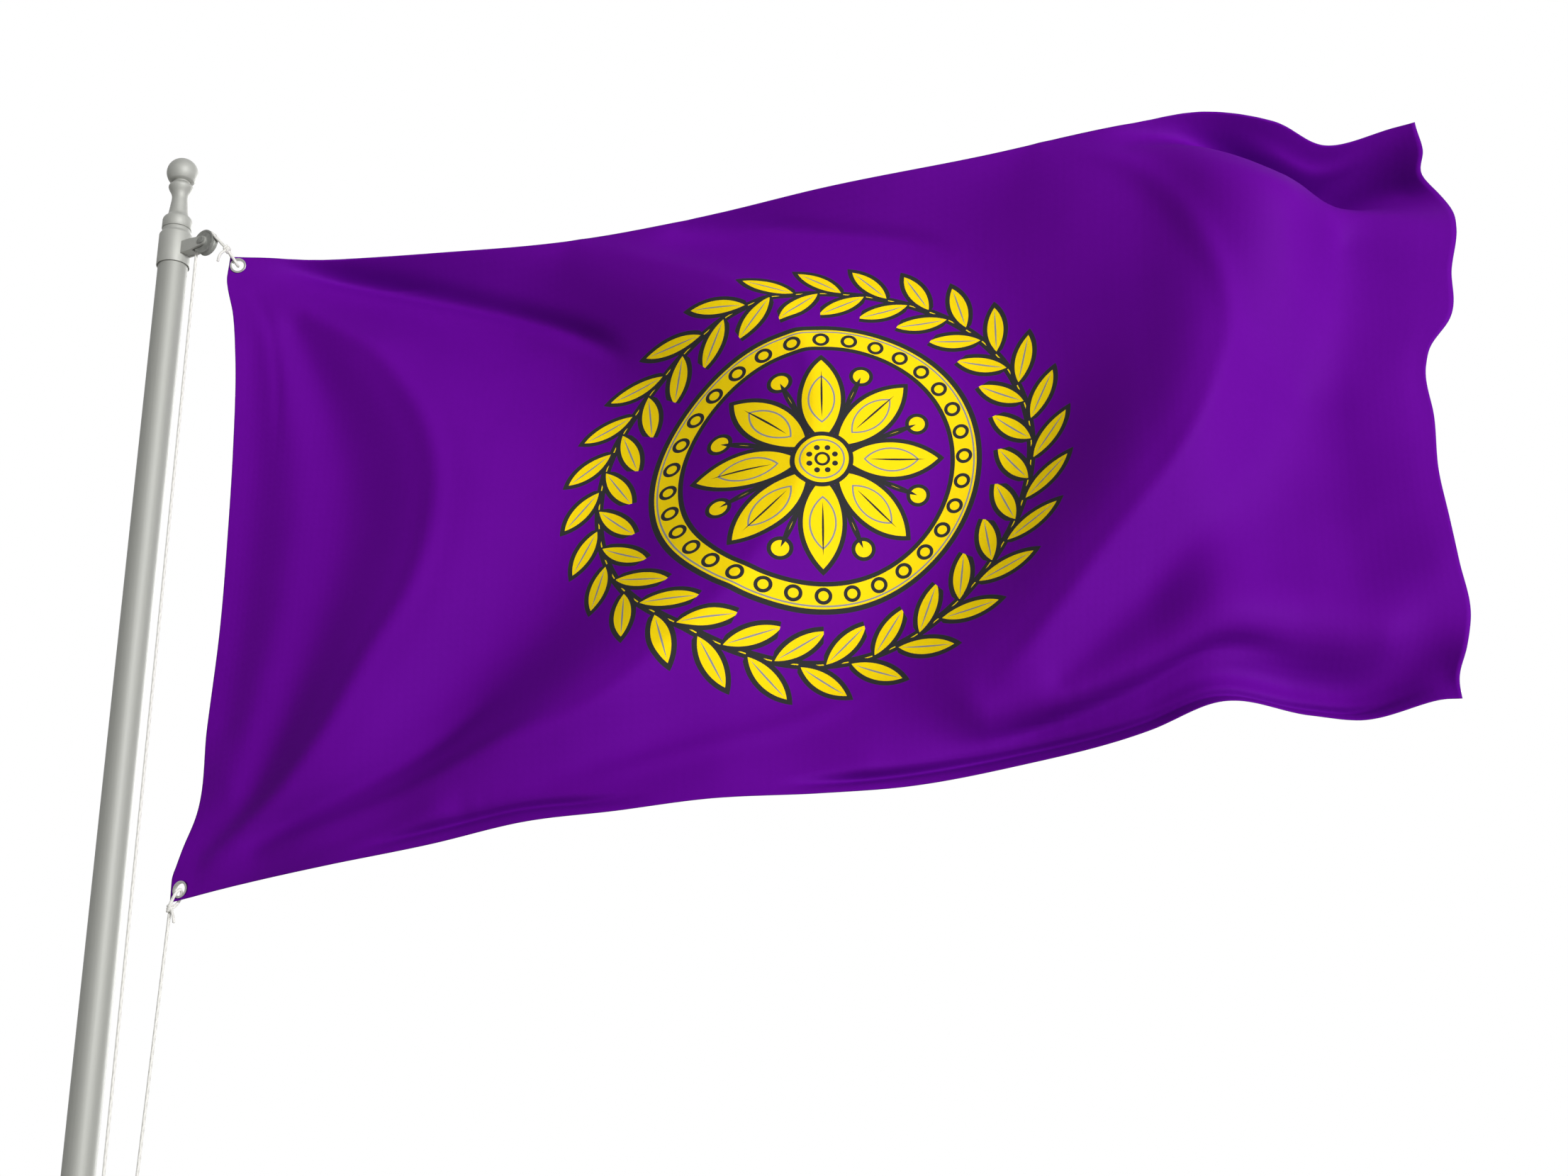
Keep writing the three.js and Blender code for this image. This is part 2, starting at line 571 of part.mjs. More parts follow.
// The line that holds the flag down: from the bottom knot to the belaying arm
function downhaulRoute() {
  const end = alongArm(BELAY.turn, DOWNHAUL_REACH, 320.9);
  const start = KNOT_BOTTOM.clone();
  const along = end.clone().sub(start).normalize();
  start.addScaledVector(along, KNOT.radius + 0.5);
  return Array.from({ length: 15 }, (_, i) => start.clone().lerp(end, i / 14));
}

function knotBody(centre, radius) {
  const ball = new THREE.SphereGeometry(radius, 12, 8).rotateX(Math.PI / 2);
  const wrap = new THREE.TorusGeometry(radius - 1, 1.5, 6, 12);
  return [ball, wrap].map((shape) => shape.translate(...centre.toArray()));
}

// A knot, its loop through the eyelet and its free end, drawn tight into one body
function makeTie(name, knot, plane, tail) {
  const outside = knot.clone().sub(plane.centre).projectOnPlane(plane.normal).add(plane.centre);
  const middle = outside.clone().add(plane.centre).divideScalar(2);
  const long = plane.centre.clone().sub(middle);
  const aside = knot.clone().sub(outside);
  const points = Array.from({ length: 16 }, (_, i) => {
    const angle = (2 * Math.PI * i) / 16;
    return middle.clone()
      .addScaledVector(long, Math.cos(angle))
      .addScaledVector(plane.normal, KNOT.halfLoop * Math.sin(angle))
      .addScaledVector(aside, ((1 - Math.cos(angle)) / 2) ** KNOT.drawnIn);
  });
  const loop = ropeTube(points, true);
  const end = ropeTube([knot, ...tail.map((point) => new THREE.Vector3(...point))]);
  addPiece(name, joined([loop, end, ...knotBody(knot, KNOT.radius)]), WHITE_ROPE);
}

function makeRopes() {
  addPiece('halyard', ropeTube(halyardRoute()), WHITE_ROPE);
  addPiece('downhaul', ropeTube(downhaulRoute()), WHITE_ROPE);
  makeTie('tie_top', KNOT_TOP, eyeletPlanes[0], TAIL_TOP);
  makeTie('tie_bottom', KNOT_BOTTOM, eyeletPlanes[1], TAIL_BOTTOM);
  [['stopper_halyard', HALYARD_REACH], ['stopper_downhaul', DOWNHAUL_REACH]].forEach(([name, reach]) => {
    addPiece(name, joined(knotBody(alongArm(BELAY.turn, reach, 315.8), KNOT.radius)), WHITE_ROPE);
  });
}

// The arm low on the pole that both lines end at
function makeBelayArm() {
  const bore = POLE.radius + 2 * GAP;
  const { radius, height } = BELAY_COLLAR;
  const low = -height / 2;
  const collar = turned([
    [bore, low], [radius - 1, low], [radius, low + 1], [radius, -low - 1], [radius - 1, -low], [bore, -low],
    [bore, low],
  ], POLE.sides);
  const bar = new THREE.BoxGeometry(BELAY.reach - radius + 1, BELAY.width, BELAY.thickness);
  bar.translate((BELAY.reach + radius - 1) / 2, 0, 0);
  const holes = [HALYARD_REACH, DOWNHAUL_REACH].map((reach) => (
    rod(BELAY_HOLE, -5, 5, 16).translate(reach, 0, 0)
  ));
  const arm = cut(joined([collar, bar]), holes).rotateZ(BELAY.turn).translate(0, 0, BELAY.height);
  addPiece('belay_arm', arm, ALUMINIUM);
}

makeFoot();
makePole();
makeBelayArm();
makeTruck();
makePulley();
makeFinial();
makeCloth();
makeEyelets();
makeRopes();

export default flag;
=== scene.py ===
import math

import bpy
import numpy as np
from mathutils import Matrix, Vector


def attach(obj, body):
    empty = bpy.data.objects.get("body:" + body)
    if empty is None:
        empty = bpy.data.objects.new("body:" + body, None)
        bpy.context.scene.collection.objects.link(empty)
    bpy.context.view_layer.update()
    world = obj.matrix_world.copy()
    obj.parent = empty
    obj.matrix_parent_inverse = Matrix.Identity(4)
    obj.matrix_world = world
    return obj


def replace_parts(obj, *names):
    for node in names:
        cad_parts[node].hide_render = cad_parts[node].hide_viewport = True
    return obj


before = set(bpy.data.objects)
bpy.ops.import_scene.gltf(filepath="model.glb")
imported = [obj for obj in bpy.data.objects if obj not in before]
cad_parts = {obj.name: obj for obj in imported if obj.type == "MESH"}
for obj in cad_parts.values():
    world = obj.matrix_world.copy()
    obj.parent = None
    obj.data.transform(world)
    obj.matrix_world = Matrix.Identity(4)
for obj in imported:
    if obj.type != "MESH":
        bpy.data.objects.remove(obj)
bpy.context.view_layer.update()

MM = 0.001

# Driving sizes, in millimetres, as in the solids
POLE_RADIUS = 20
POLE_WALL = 2
POLE_TOP = 1624
SLEEVE = {"foot": 1587, "shoulder": 1634, "neck": 1638, "top": 1643.4, "radius": 22.3, "neck_radius": 19.2}
ARM_TURN = math.radians(-30)
PULLEY = {"reach": 58, "height": 1608.5, "radius": 17, "groove": 13.4, "width": 11, "bore": 3.4}
CHEEK = {"inner": 6, "thickness": 3, "root_height": 18, "tip_radius": 6.5, "block_end": 39}
PIN = {"radius": 3, "head_radius": 5, "head": 2.2}
# The finial's turned stem below its ball. Columns: radius, height
FINIAL_STEM = [
    (20, 1657), (19, 1660), (14, 1666), (13, 1670), (11.6, 1682), (10.7, 1693), (12, 1699), (15.6, 1706),
    (16.6, 1709.5), (15.6, 1712.5), (11.8, 1716.5), (11.4, 1718.5),
]
FINIAL_BALL = {"centre": 1733, "radius": 21.3, "start": 1719.5}
FOOT = {"radius": 160, "thickness": 10, "socket_radius": 27, "socket_height": 60, "fillet": 4}
ROPE_RADIUS = 2
BELAY = {"height": 330, "thickness": 4, "width": 14, "reach": 100, "turn": math.radians(-26)}
BELAY_COLLAR = {"radius": 26, "height": 24}
# Where the two ropes go through the belaying arm, and the knots that stop them under it
HALYARD_REACH = 39
DOWNHAUL_REACH = 88
ROPE_END_HEIGHT = 320.9
STOPPER = {"height": 315.8, "turns": 2.2, "radius": 2.9, "pitch": 2.9, "rope_radius": 1.9, "core_radius": 2.2}
FLY = 1620
DROP = 886
CLOTH_THICKNESS = 1.2
EYELET = {"inner": 7.9, "barrel": 8.8, "flange": 10.8, "seat": 1.3, "lip": 2.1, "from_hoist": 13}
EYELET_FALLS = {"eyelet_top": 13, "eyelet_bottom": 873}
KNOT_TOP = (83, -39, 1593)
KNOT_BOTTOM = (89, -36, 692)
TAIL_TOP = [(80, -42, 1589), (77, -45, 1584), (75, -47, 1577), (74, -47, 1571)]
TAIL_BOTTOM = [(91, -39, 689), (94, -42, 684), (96, -43, 678), (97, -43, 673)]
# The tie's loop is drawn in near its knot, and its rope is pulled thinner in the knot's turns
HALF_LOOP = 6
LOOP_DRAWN_IN = 4
KNOT_RADIUS = 4.8
KNOT_ROPE_RADIUS = 1.7
ROPE_LEAVES = math.radians(38)
# The play between pieces that touch
GAP = 0.3

# Top edge of the cloth. Columns: share of the fly, x, y, height
TOP_EDGE = [
    (0.00, 86, -31, 1586), (0.09, 224, -31, 1583), (0.19, 385, -61, 1577), (0.32, 588, -112, 1571),
    (0.42, 751, -168, 1576), (0.50, 880, -225, 1579), (0.635, 1087, -291, 1588), (0.75, 1260, -347, 1599),
    (0.81, 1350, -363, 1606), (0.865, 1435, -352, 1599), (0.92, 1509, -301, 1596), (0.98, 1589, -322, 1608),
    (1.00, 1612, -337, 1607),
]
# Bottom edge of the cloth. Columns: share of the fly, x, y, height
BOTTOM_EDGE = [
    (0.00, 87, -31, 700), (0.055, 176, -76, 711), (0.14, 304, -158, 718), (0.215, 427, -219, 727),
    (0.29, 545, -281, 739), (0.36, 650, -322, 741), (0.42, 751, -347, 748), (0.495, 874, -363, 750),
    (0.56, 968, -383, 752), (0.645, 1085, -424, 764), (0.75, 1216, -506, 780), (0.80, 1277, -547, 797),
    (0.88, 1373, -547, 783), (0.915, 1418, -557, 775), (0.985, 1500, -588, 788), (1.00, 1514, -593, 787),
]
# How far the hoist and the fly edge bow sideways. Columns: share of the drop, shift in x
HOIST_BOW = [
    (0, 0), (0.035, -2), (0.1, 11), (0.17, 19), (0.32, 27), (0.45, 30), (0.6, 31), (0.75, 26),
    (0.88, 22), (0.93, 8), (0.97, 0), (1, 0),
]
FLY_BOW = [
    (0, 0), (0.05, 10), (0.09, 8), (0.13, 27), (0.18, 38), (0.22, 38), (0.3, 27), (0.39, 21),
    (0.44, -3), (0.47, -8), (0.56, -3), (0.65, -4), (0.72, 1), (0.8, 7), (0.88, 15), (0.93, 8),
    (0.96, 2), (1, 0),
]
HOIST_BOW_REACH = 0.12
FLY_BOW_REACH = 0.08

# Folds: a line of points for each crest or hollow.
# Columns: share of the fly, share of the drop, depth towards the viewer
FOLDS = {
    "top edge": [(0, 0, 0), (0.25, 0, 0), (0.5, 0, 0), (0.75, 0, 0), (1, 0, 0)],
    "bottom edge": [(0, 1, 0), (0.25, 1, 0), (0.5, 1, 0), (0.75, 1, 0), (1, 1, 0)],
    "hoist": [(0, 0.06, 0), (0, 0.3, 0), (0, 0.5, 0), (0, 0.7, 0), (0, 0.94, 0)],
    "fly": [(1, 0.05, -10), (1, 0.12, -20), (1, 0.2, 0), (1, 0.35, 5), (1, 0.5, -8), (1, 0.65, -4),
            (1, 0.8, 5), (1, 0.93, 0)],
    "foot 1": [(0.05, 0.07, 2), (0.1, 0.13, 10), (0.135, 0.175, 16), (0.165, 0.25, 20), (0.19, 0.34, 22),
               (0.2, 0.42, 22), (0.2, 0.5, 22), (0.187, 0.605, 22), (0.16, 0.695, 21), (0.13, 0.8, 18),
               (0.1, 0.865, 13), (0.033, 0.95, 4)],
    "hollow 1": [(0.05, 0.01, -4), (0.08, 0.018, -14), (0.11, 0.026, -25), (0.15, 0.04, -38),
                 (0.2, 0.064, -50), (0.25, 0.096, -53), (0.29, 0.135, -47), (0.33, 0.19, -38),
                 (0.36, 0.265, -31), (0.375, 0.35, -26), (0.375, 0.45, -25), (0.36, 0.54, -25),
                 (0.32, 0.635, -27), (0.277, 0.735, -27), (0.235, 0.8, -24), (0.188, 0.865, -18),
                 (0.133, 0.91, -11), (0.07, 0.955, -4)],
    "foot 2": [(0.31, 0.01, 2), (0.345, 0.05, 8), (0.39, 0.1, 14), (0.43, 0.15, 19), (0.47, 0.23, 23),
               (0.49, 0.32, 25), (0.495, 0.42, 26), (0.485, 0.52, 27), (0.46, 0.62, 28), (0.43, 0.7, 28),
               (0.39, 0.77, 26), (0.352, 0.83, 22), (0.316, 0.865, 18), (0.284, 0.89, 14),
               (0.25, 0.915, 10), (0.218, 0.94, 6)],
    "hollow 2": [(0.39, 0.01, -6), (0.43, 0.024, -17), (0.475, 0.046, -29), (0.523, 0.072, -38),
                 (0.58, 0.107, -42), (0.62, 0.148, -41), (0.655, 0.2, -37), (0.685, 0.28, -33),
                 (0.695, 0.36, -30), (0.69, 0.44, -28), (0.67, 0.53, -27), (0.63, 0.63, -26),
                 (0.57, 0.73, -25), (0.52, 0.8, -24), (0.465, 0.85, -22), (0.43, 0.87, -20),
                 (0.385, 0.885, -16), (0.35, 0.905, -12), (0.305, 0.93, -8), (0.25, 0.955, -4)],
    "foot 3": [(0.68, 0.01, 2), (0.71, 0.035, 4), (0.74, 0.07, 6), (0.775, 0.15, 11), (0.8, 0.25, 17),
               (0.815, 0.33, 21), (0.82, 0.42, 23), (0.81, 0.5, 26), (0.785, 0.6, 29), (0.75, 0.67, 30),
               (0.715, 0.73, 28), (0.685, 0.79, 25), (0.65, 0.85, 20), (0.61, 0.9, 14)],
    "brow 3": [(0.74, 0.05, 4), (0.78, 0.07, 8), (0.82, 0.095, 12), (0.86, 0.12, 16), (0.9, 0.135, 16),
               (0.935, 0.155, 14), (0.96, 0.175, 10), (0.985, 0.2, 6)],
    "hollow 3": [(0.75, 0.012, -4), (0.78, 0.022, -16), (0.81, 0.036, -36), (0.84, 0.048, -58),
                 (0.87, 0.058, -74), (0.9, 0.066, -80), (0.93, 0.078, -76), (0.955, 0.094, -58),
                 (0.985, 0.12, -34)],
    "right swell": [(0.85, 0.8, -8), (0.895, 0.785, 2), (0.94, 0.785, 8), (0.985, 0.8, 8)],
    "right crease": [(0.53, 0.96, -5), (0.57, 0.953, -12), (0.61, 0.952, -20), (0.65, 0.952, -27),
                     (0.7, 0.948, -34), (0.75, 0.945, -42), (0.8, 0.942, -50), (0.85, 0.942, -50),
                     (0.9, 0.945, -46), (0.95, 0.955, -34), (0.99, 0.96, -16)],
    "left crease": [(0.24, 0.96, -5), (0.28, 0.957, -10), (0.33, 0.957, -13), (0.38, 0.96, -11),
                    (0.43, 0.962, -7)],
    "hoist crease": [(0.02, 0.15, -2), (0.03, 0.35, -3), (0.03, 0.55, -3), (0.025, 0.75, -2)],
    "hoist ridge": [(0.03, 0.1, 1), (0.06, 0.25, 4), (0.075, 0.42, 5), (0.07, 0.58, 5), (0.055, 0.72, 4),
                    (0.035, 0.86, 2)],
    "hoist hollow": [(0.06, 0.12, -2), (0.1, 0.27, -4), (0.125, 0.42, -5), (0.12, 0.56, -5),
                     (0.095, 0.72, -4), (0.06, 0.86, -3), (0.02, 0.95, -1)],
    "fly hollow": [(0.68, 0.895, 3), (0.72, 0.85, -6), (0.77, 0.78, -16), (0.82, 0.69, -20),
                   (0.86, 0.59, -15), (0.885, 0.5, -9)],
    "right lip": [(0.62, 0.925, 5), (0.68, 0.92, -2), (0.74, 0.905, -10), (0.8, 0.89, -14),
                  (0.87, 0.885, -6), (0.94, 0.89, 2)],
    "fly level": [(0.925, 0.22, 20), (0.93, 0.4, 17), (0.93, 0.6, 8), (0.93, 0.7, 8)],
}
# Sharper lines than the solid has: soft troughs and ridges along a fold or along a line of their own.
# Columns: a fold's name or places as shares of fly and drop, depth towards the viewer, half width
CREASES = [
    ("foot 1", 4.5, 16),
    ("foot 2", 3.5, 14),
    ("foot 3", 4, 16),
    ("brow 3", 5, 16),
    ([(0.03, 0.008), (0.08, 0.018), (0.11, 0.026), (0.15, 0.04), (0.2, 0.064), (0.25, 0.096), (0.29, 0.135),
      (0.33, 0.19), (0.355, 0.25)], -14, 14),
    ([(0.43, 0.022), (0.475, 0.044), (0.523, 0.07), (0.58, 0.105), (0.62, 0.146)], -6, 12),
    ([(0.78, 0.02), (0.81, 0.034), (0.84, 0.045), (0.87, 0.054), (0.9, 0.06), (0.93, 0.068), (0.96, 0.08)],
     -20, 16),
    ([(0.82, 0.018), (0.86, 0.028), (0.9, 0.03), (0.94, 0.026), (0.97, 0.02)], 9, 9),
    ([(0.46, 0.985), (0.55, 0.978), (0.65, 0.974), (0.75, 0.975), (0.82, 0.976), (0.9, 0.975), (0.98, 0.98)],
     -17, 8),
    ([(0.60, 0.955), (0.66, 0.945), (0.72, 0.93), (0.77, 0.917), (0.82, 0.905), (0.88, 0.9)], -10, 10),
    ([(0.15, 0.985), (0.2, 0.978), (0.26, 0.974), (0.33, 0.978), (0.39, 0.985)], -13, 8),
    ([(0.03, 0.962), (0.09, 0.925), (0.15, 0.89), (0.21, 0.845), (0.27, 0.775)], -8, 16),
    ([(0.05, 0.968), (0.11, 0.952), (0.18, 0.925), (0.25, 0.89), (0.33, 0.84)], 9, 15),
    ([(0.3, 0.955), (0.38, 0.93), (0.47, 0.895), (0.55, 0.84)], 4, 14),
    ([(0.012, 0.03), (0.03, 0.09), (0.045, 0.2), (0.052, 0.36)], -2, 9),
]
# A crease deepens over its first 120 mm and fades over its last
CREASE_FADE = 120
# Fold lines are sampled every 24 mm, and the relief may pass a sample by a hair to stay smooth
FOLD_STEP = 24
FOLD_SLACK = 5e-5
# The cloth is flat within the first distance of an eyelet's centre, and free beyond the second
FLAT_INNER = 14
FLAT_OUTER = 34
# The sheet drawn here is finer than the solid's, and finest round the eyelets. Spacings in millimetres
CLOTH_STEP = 5.6
EYELET_STEP = 1.6
EYELET_REACH = 32

# Colours as sRGB hex; GROUND shows the cloth's own colour
PURPLE_TONES = ("#5A0488", "#60058F")
GROUND = None
GOLD = "#F2D20E"
LINE_DARK = "#2E2E30"
LINE_GREY = "#8A8A8A"

# The design in the middle of the cloth, a rosette in a wreath of leaves, painted in this order.
# A spot is a circle, or with some sag two arcs that meet in points; a ring runs round the middle.
# Columns: kind, repeats, turn in repeats, distance from the middle, lean, sag, radius, fill, outline width
DESIGN = [
    ("ring", 1, 0, 270, 0, 0, 3.2, GOLD, 5),
    ("spot", 28, 0, 293, 52, 52, 65.5, GOLD, 6),
    ("spot", 28, 0, 293, 52, 420, 421.1, LINE_GREY, 0),
    ("spot", 28, 0.5, 247, -52, 52, 65.5, GOLD, 6),
    ("spot", 28, 0.5, 247, -52, 420, 421.1, LINE_GREY, 0),
    ("spot", 1, 0, 0, 0, 0, 203, GOLD, 7),
    ("ring", 1, 0, 196, 0, 0, 1.1, LINE_GREY, 0),
    ("spot", 32, 0, 183, 0, 0, 8.5, GOLD, 4.5),
    ("spot", 1, 0, 0, 0, 0, 168, GROUND, 6),
    ("spot", 8, 0.5, 132, 0, 0, 13, GOLD, 5),
    ("spot", 8, 0.5, 100, 0, 110, 112.2, GOLD, 4),
    ("spot", 8, 0, 88, 0, 65, 92, GOLD, 6),
    ("spot", 8, 0, 88, 0, 30, 47, LINE_GREY, 0),
    ("spot", 8, 0, 88, 0, 30, 44.8, GOLD, 0),
    ("spot", 8, 0, 96, 0, 500, 501.3, LINE_DARK, 0),
    ("spot", 1, 0, 0, 0, 0, 36, GOLD, 6),
    ("ring", 1, 0, 27, 0, 0, 1.1, LINE_GREY, 0),
    ("spot", 8, 0.5, 17, 0, 0, 3.6, LINE_DARK, 0),
    ("spot", 1, 0, 0, 0, 0, 8, GOLD, 3.5),
]

# The stage. Lengths in metres, angles in degrees, power in watts
CAMERA_PLACE = (0.836, -2.747, 0.120)
CAMERA_TILT = 20
CAMERA_LENS_MM = 51.75
LIGHTS = [("key", (7.4, -12.4, 3.9), 3.0, 2140), ("back light", (4.5, 9.0, 3.6), 4.0, 800)]
LIGHTS_AIM = (0.85, -0.2, 1.15)
FLOOR_REACH = 12
# How bright metal mirrors the room, all round, to the right and behind; fill is its light in shadows
ROOM = {"even": 0.8, "right": 0.12, "behind": 0.6, "fill": 0.08}


# Materials

def linear(hex_colour):
    """An sRGB hex colour as linear RGBA."""
    parts = [int(hex_colour[i:i + 2], 16) / 255 for i in (1, 3, 5)]
    return [c / 12.92 if c <= 0.04045 else ((c + 0.055) / 1.055) ** 2.4 for c in parts] + [1]


def add(tree, kind, settings, links):
    """Adds a node; settings are its properties, links its inputs as values or other nodes' outputs."""
    made = tree.nodes.new(kind)
    for key, value in settings.items():
        setattr(made, key, value)
    for key, value in links.items():
        if isinstance(value, bpy.types.NodeSocket):
            tree.links.new(value, made.inputs[key])
        else:
            made.inputs[key].default_value = value
    return made


def new_material(name, **sockets):
    """A material with one Principled shader and the given constant sockets."""
    material = bpy.data.materials.new(name)
    material.use_nodes = True
    shader = material.node_tree.nodes["Principled BSDF"]
    for key, value in sockets.items():
        shader.inputs[key.replace("_", " ")].default_value = value
    return material, material.node_tree, shader


def calculated(tree, operation, *values):
    """The output of a Math node."""
    return add(tree, "ShaderNodeMath", {"operation": operation}, dict(enumerate(values))).outputs[0]


def mottled(tree, place, scale, detail, tones):
    """A noise over the surface, and the colour that it mixes from two tones."""
    noise = add(tree, "ShaderNodeTexNoise", {}, {"Vector": place, "Scale": scale, "Detail": detail})
    tone = add(tree, "ShaderNodeMix", {"data_type": "RGBA"}, {
        "Factor": noise.outputs["Fac"], "A": linear(tones[0]), "B": linear(tones[1]),
    })
    return noise.outputs["Fac"], tone.outputs["Result"]


def dress(tree, shader, colour, height, depth_mm):
    """Gives the shader its colour and a fine relief of some depth in millimetres."""
    tree.links.new(colour, shader.inputs["Base Color"])
    node = add(tree, "ShaderNodeBump", {}, {"Strength": 1.0, "Distance": depth_mm * MM, "Height": height})
    tree.links.new(node.outputs["Normal"], shader.inputs["Normal"])


def drawn_aluminium():
    """Drawn aluminium tube, satin anodised: pale grey with soft lengthwise streaks."""
    material, tree, shader = new_material(
        "satin_anodised_aluminium", Metallic=0.5, Roughness=0.68, Coat_Weight=0.25, Coat_Roughness=0.45)
    place = add(tree, "ShaderNodeTexCoord", {}, {}).outputs["Object"]
    streaks = add(tree, "ShaderNodeMapping", {}, {"Vector": place, "Scale": (400, 400, 2.5)})
    noise, tone = mottled(tree, streaks.outputs["Vector"], 1.0, 4.0, ("#9C9D98", "#A6A7A2"))
    dress(tree, shader, tone, noise, 0.02)
    return material


def cast_aluminium():
    """Cast and turned aluminium, satin: a very fine grain and slightly duller than the tube."""
    material, tree, shader = new_material(
        "turned_cast_aluminium", Metallic=0.45, Roughness=0.66, Coat_Weight=0.25, Coat_Roughness=0.45)
    place = add(tree, "ShaderNodeTexCoord", {}, {}).outputs["Object"]
    grain = add(tree, "ShaderNodeTexNoise", {}, {"Vector": place, "Scale": 1400.0, "Detail": 3.0})
    tone = mottled(tree, place, 60.0, 2.0, ("#AEAFAA", "#A6A7A2"))[1]
    dress(tree, shader, tone, grain.outputs["Fac"], 0.02)
    return material


def dull_zinc():
    """Zinc-plated wheel and pin, weathered to a dull, patchy mid grey."""
    material, tree, shader = new_material("weathered_zinc_plate", Metallic=0.3, Roughness=0.5)
    place = add(tree, "ShaderNodeTexCoord", {}, {}).outputs["Object"]
    noise, tone = mottled(tree, place, 220.0, 5.0, ("#6F716F", "#94958F"))
    dress(tree, shader, tone, noise, 0.05)
    return material


def bright_nickel():
    """Nickel-plated brass, as on pressed eyelets: bright with faint press marks."""
    material, tree, shader = new_material("nickel_plated_brass", Metallic=0.65, Roughness=0.3)
    place = add(tree, "ShaderNodeTexCoord", {}, {}).outputs["Object"]
    noise, tone = mottled(tree, place, 500.0, 3.0, ("#B8B8B4", "#CCCCC8"))
    dress(tree, shader, tone, noise, 0.03)
    return material


def painted_steel():
    """Powder-coated steel plate: even grey with a fine orange-peel skin."""
    material, tree, shader = new_material(
        "powder_coated_steel", Roughness=0.45, Coat_Weight=0.15, Coat_Roughness=0.3)
    place = add(tree, "ShaderNodeTexCoord", {}, {}).outputs["Object"]
    peel = add(tree, "ShaderNodeTexNoise", {}, {"Vector": place, "Scale": 700.0, "Detail": 2.0})
    tone = mottled(tree, place, 12.0, 5.0, ("#83857F", "#94958F"))[1]
    dress(tree, shader, tone, peel.outputs["Fac"], 0.04)
    return material


def braided_rope():
    """Braided polyester line, 4 mm: white, matt, with the braid's crossing strands."""
    material, tree, shader = new_material("braided_polyester_line", Roughness=0.8, Sheen_Weight=0.3)
    place = add(tree, "ShaderNodeTexCoord", {}, {}).outputs["UV"]
    strands = []
    for lean in (1, -1):
        turned_place = add(tree, "ShaderNodeMapping", {}, {
            "Vector": place, "Rotation": (0, 0, lean * math.radians(35)),
        })
        # One strand is about 1.4 mm wide
        strands.append(add(tree, "ShaderNodeTexWave", {}, {
            "Vector": turned_place.outputs["Vector"], "Scale": 1 / (1.4 * MM) / 20,
        }).outputs["Fac"])
    crossing = calculated(tree, "MAXIMUM", *strands)
    tone = add(tree, "ShaderNodeMix", {"data_type": "RGBA"}, {
        "Factor": crossing, "A": linear("#CBCAC5"), "B": linear("#E2E1DC"),
    })
    dress(tree, shader, tone.outputs["Result"], crossing, 0.12)
    return material


def design_mask(tree, polar, row):
    """The signed distance in millimetres from one motif's outline, negative inside."""
    kind, repeats, turn, reach, lean, sag, radius = row[:7]
    distance, angle = polar
    if kind == "ring":
        off = calculated(tree, "ABSOLUTE", calculated(tree, "SUBTRACT", distance, reach))
        return calculated(tree, "SUBTRACT", off, radius)
    if repeats == 1 and reach == 0:
        return calculated(tree, "SUBTRACT", distance, radius)
    shifted = calculated(tree, "ADD", angle, 2 * math.pi * turn / repeats)
    wrapped = calculated(tree, "WRAP", shifted, -math.pi / repeats, math.pi / repeats)
    legs = []
    for operation, shift in (("COSINE", -reach), ("SINE", 0.0)):
        share = calculated(tree, operation, wrapped)
        legs.append(calculated(tree, "MULTIPLY_ADD", share, distance, shift))
    place = add(tree, "ShaderNodeCombineXYZ", {}, {"X": legs[0], "Y": legs[1]}).outputs[0]
    if lean:
        place = add(tree, "ShaderNodeVectorRotate", {"rotation_type": "Z_AXIS"}, {
            "Vector": place, "Angle": math.radians(lean),
        }).outputs[0]
    folded = add(tree, "ShaderNodeVectorMath", {"operation": "ABSOLUTE"}, {0: place})
    lowered = add(tree, "ShaderNodeVectorMath", {"operation": "ADD"}, {0: folded.outputs[0], 1: (0, sag, 0)})
    length = add(tree, "ShaderNodeVectorMath", {"operation": "LENGTH"}, {0: lowered.outputs[0]})
    return calculated(tree, "SUBTRACT", length.outputs["Value"], radius)


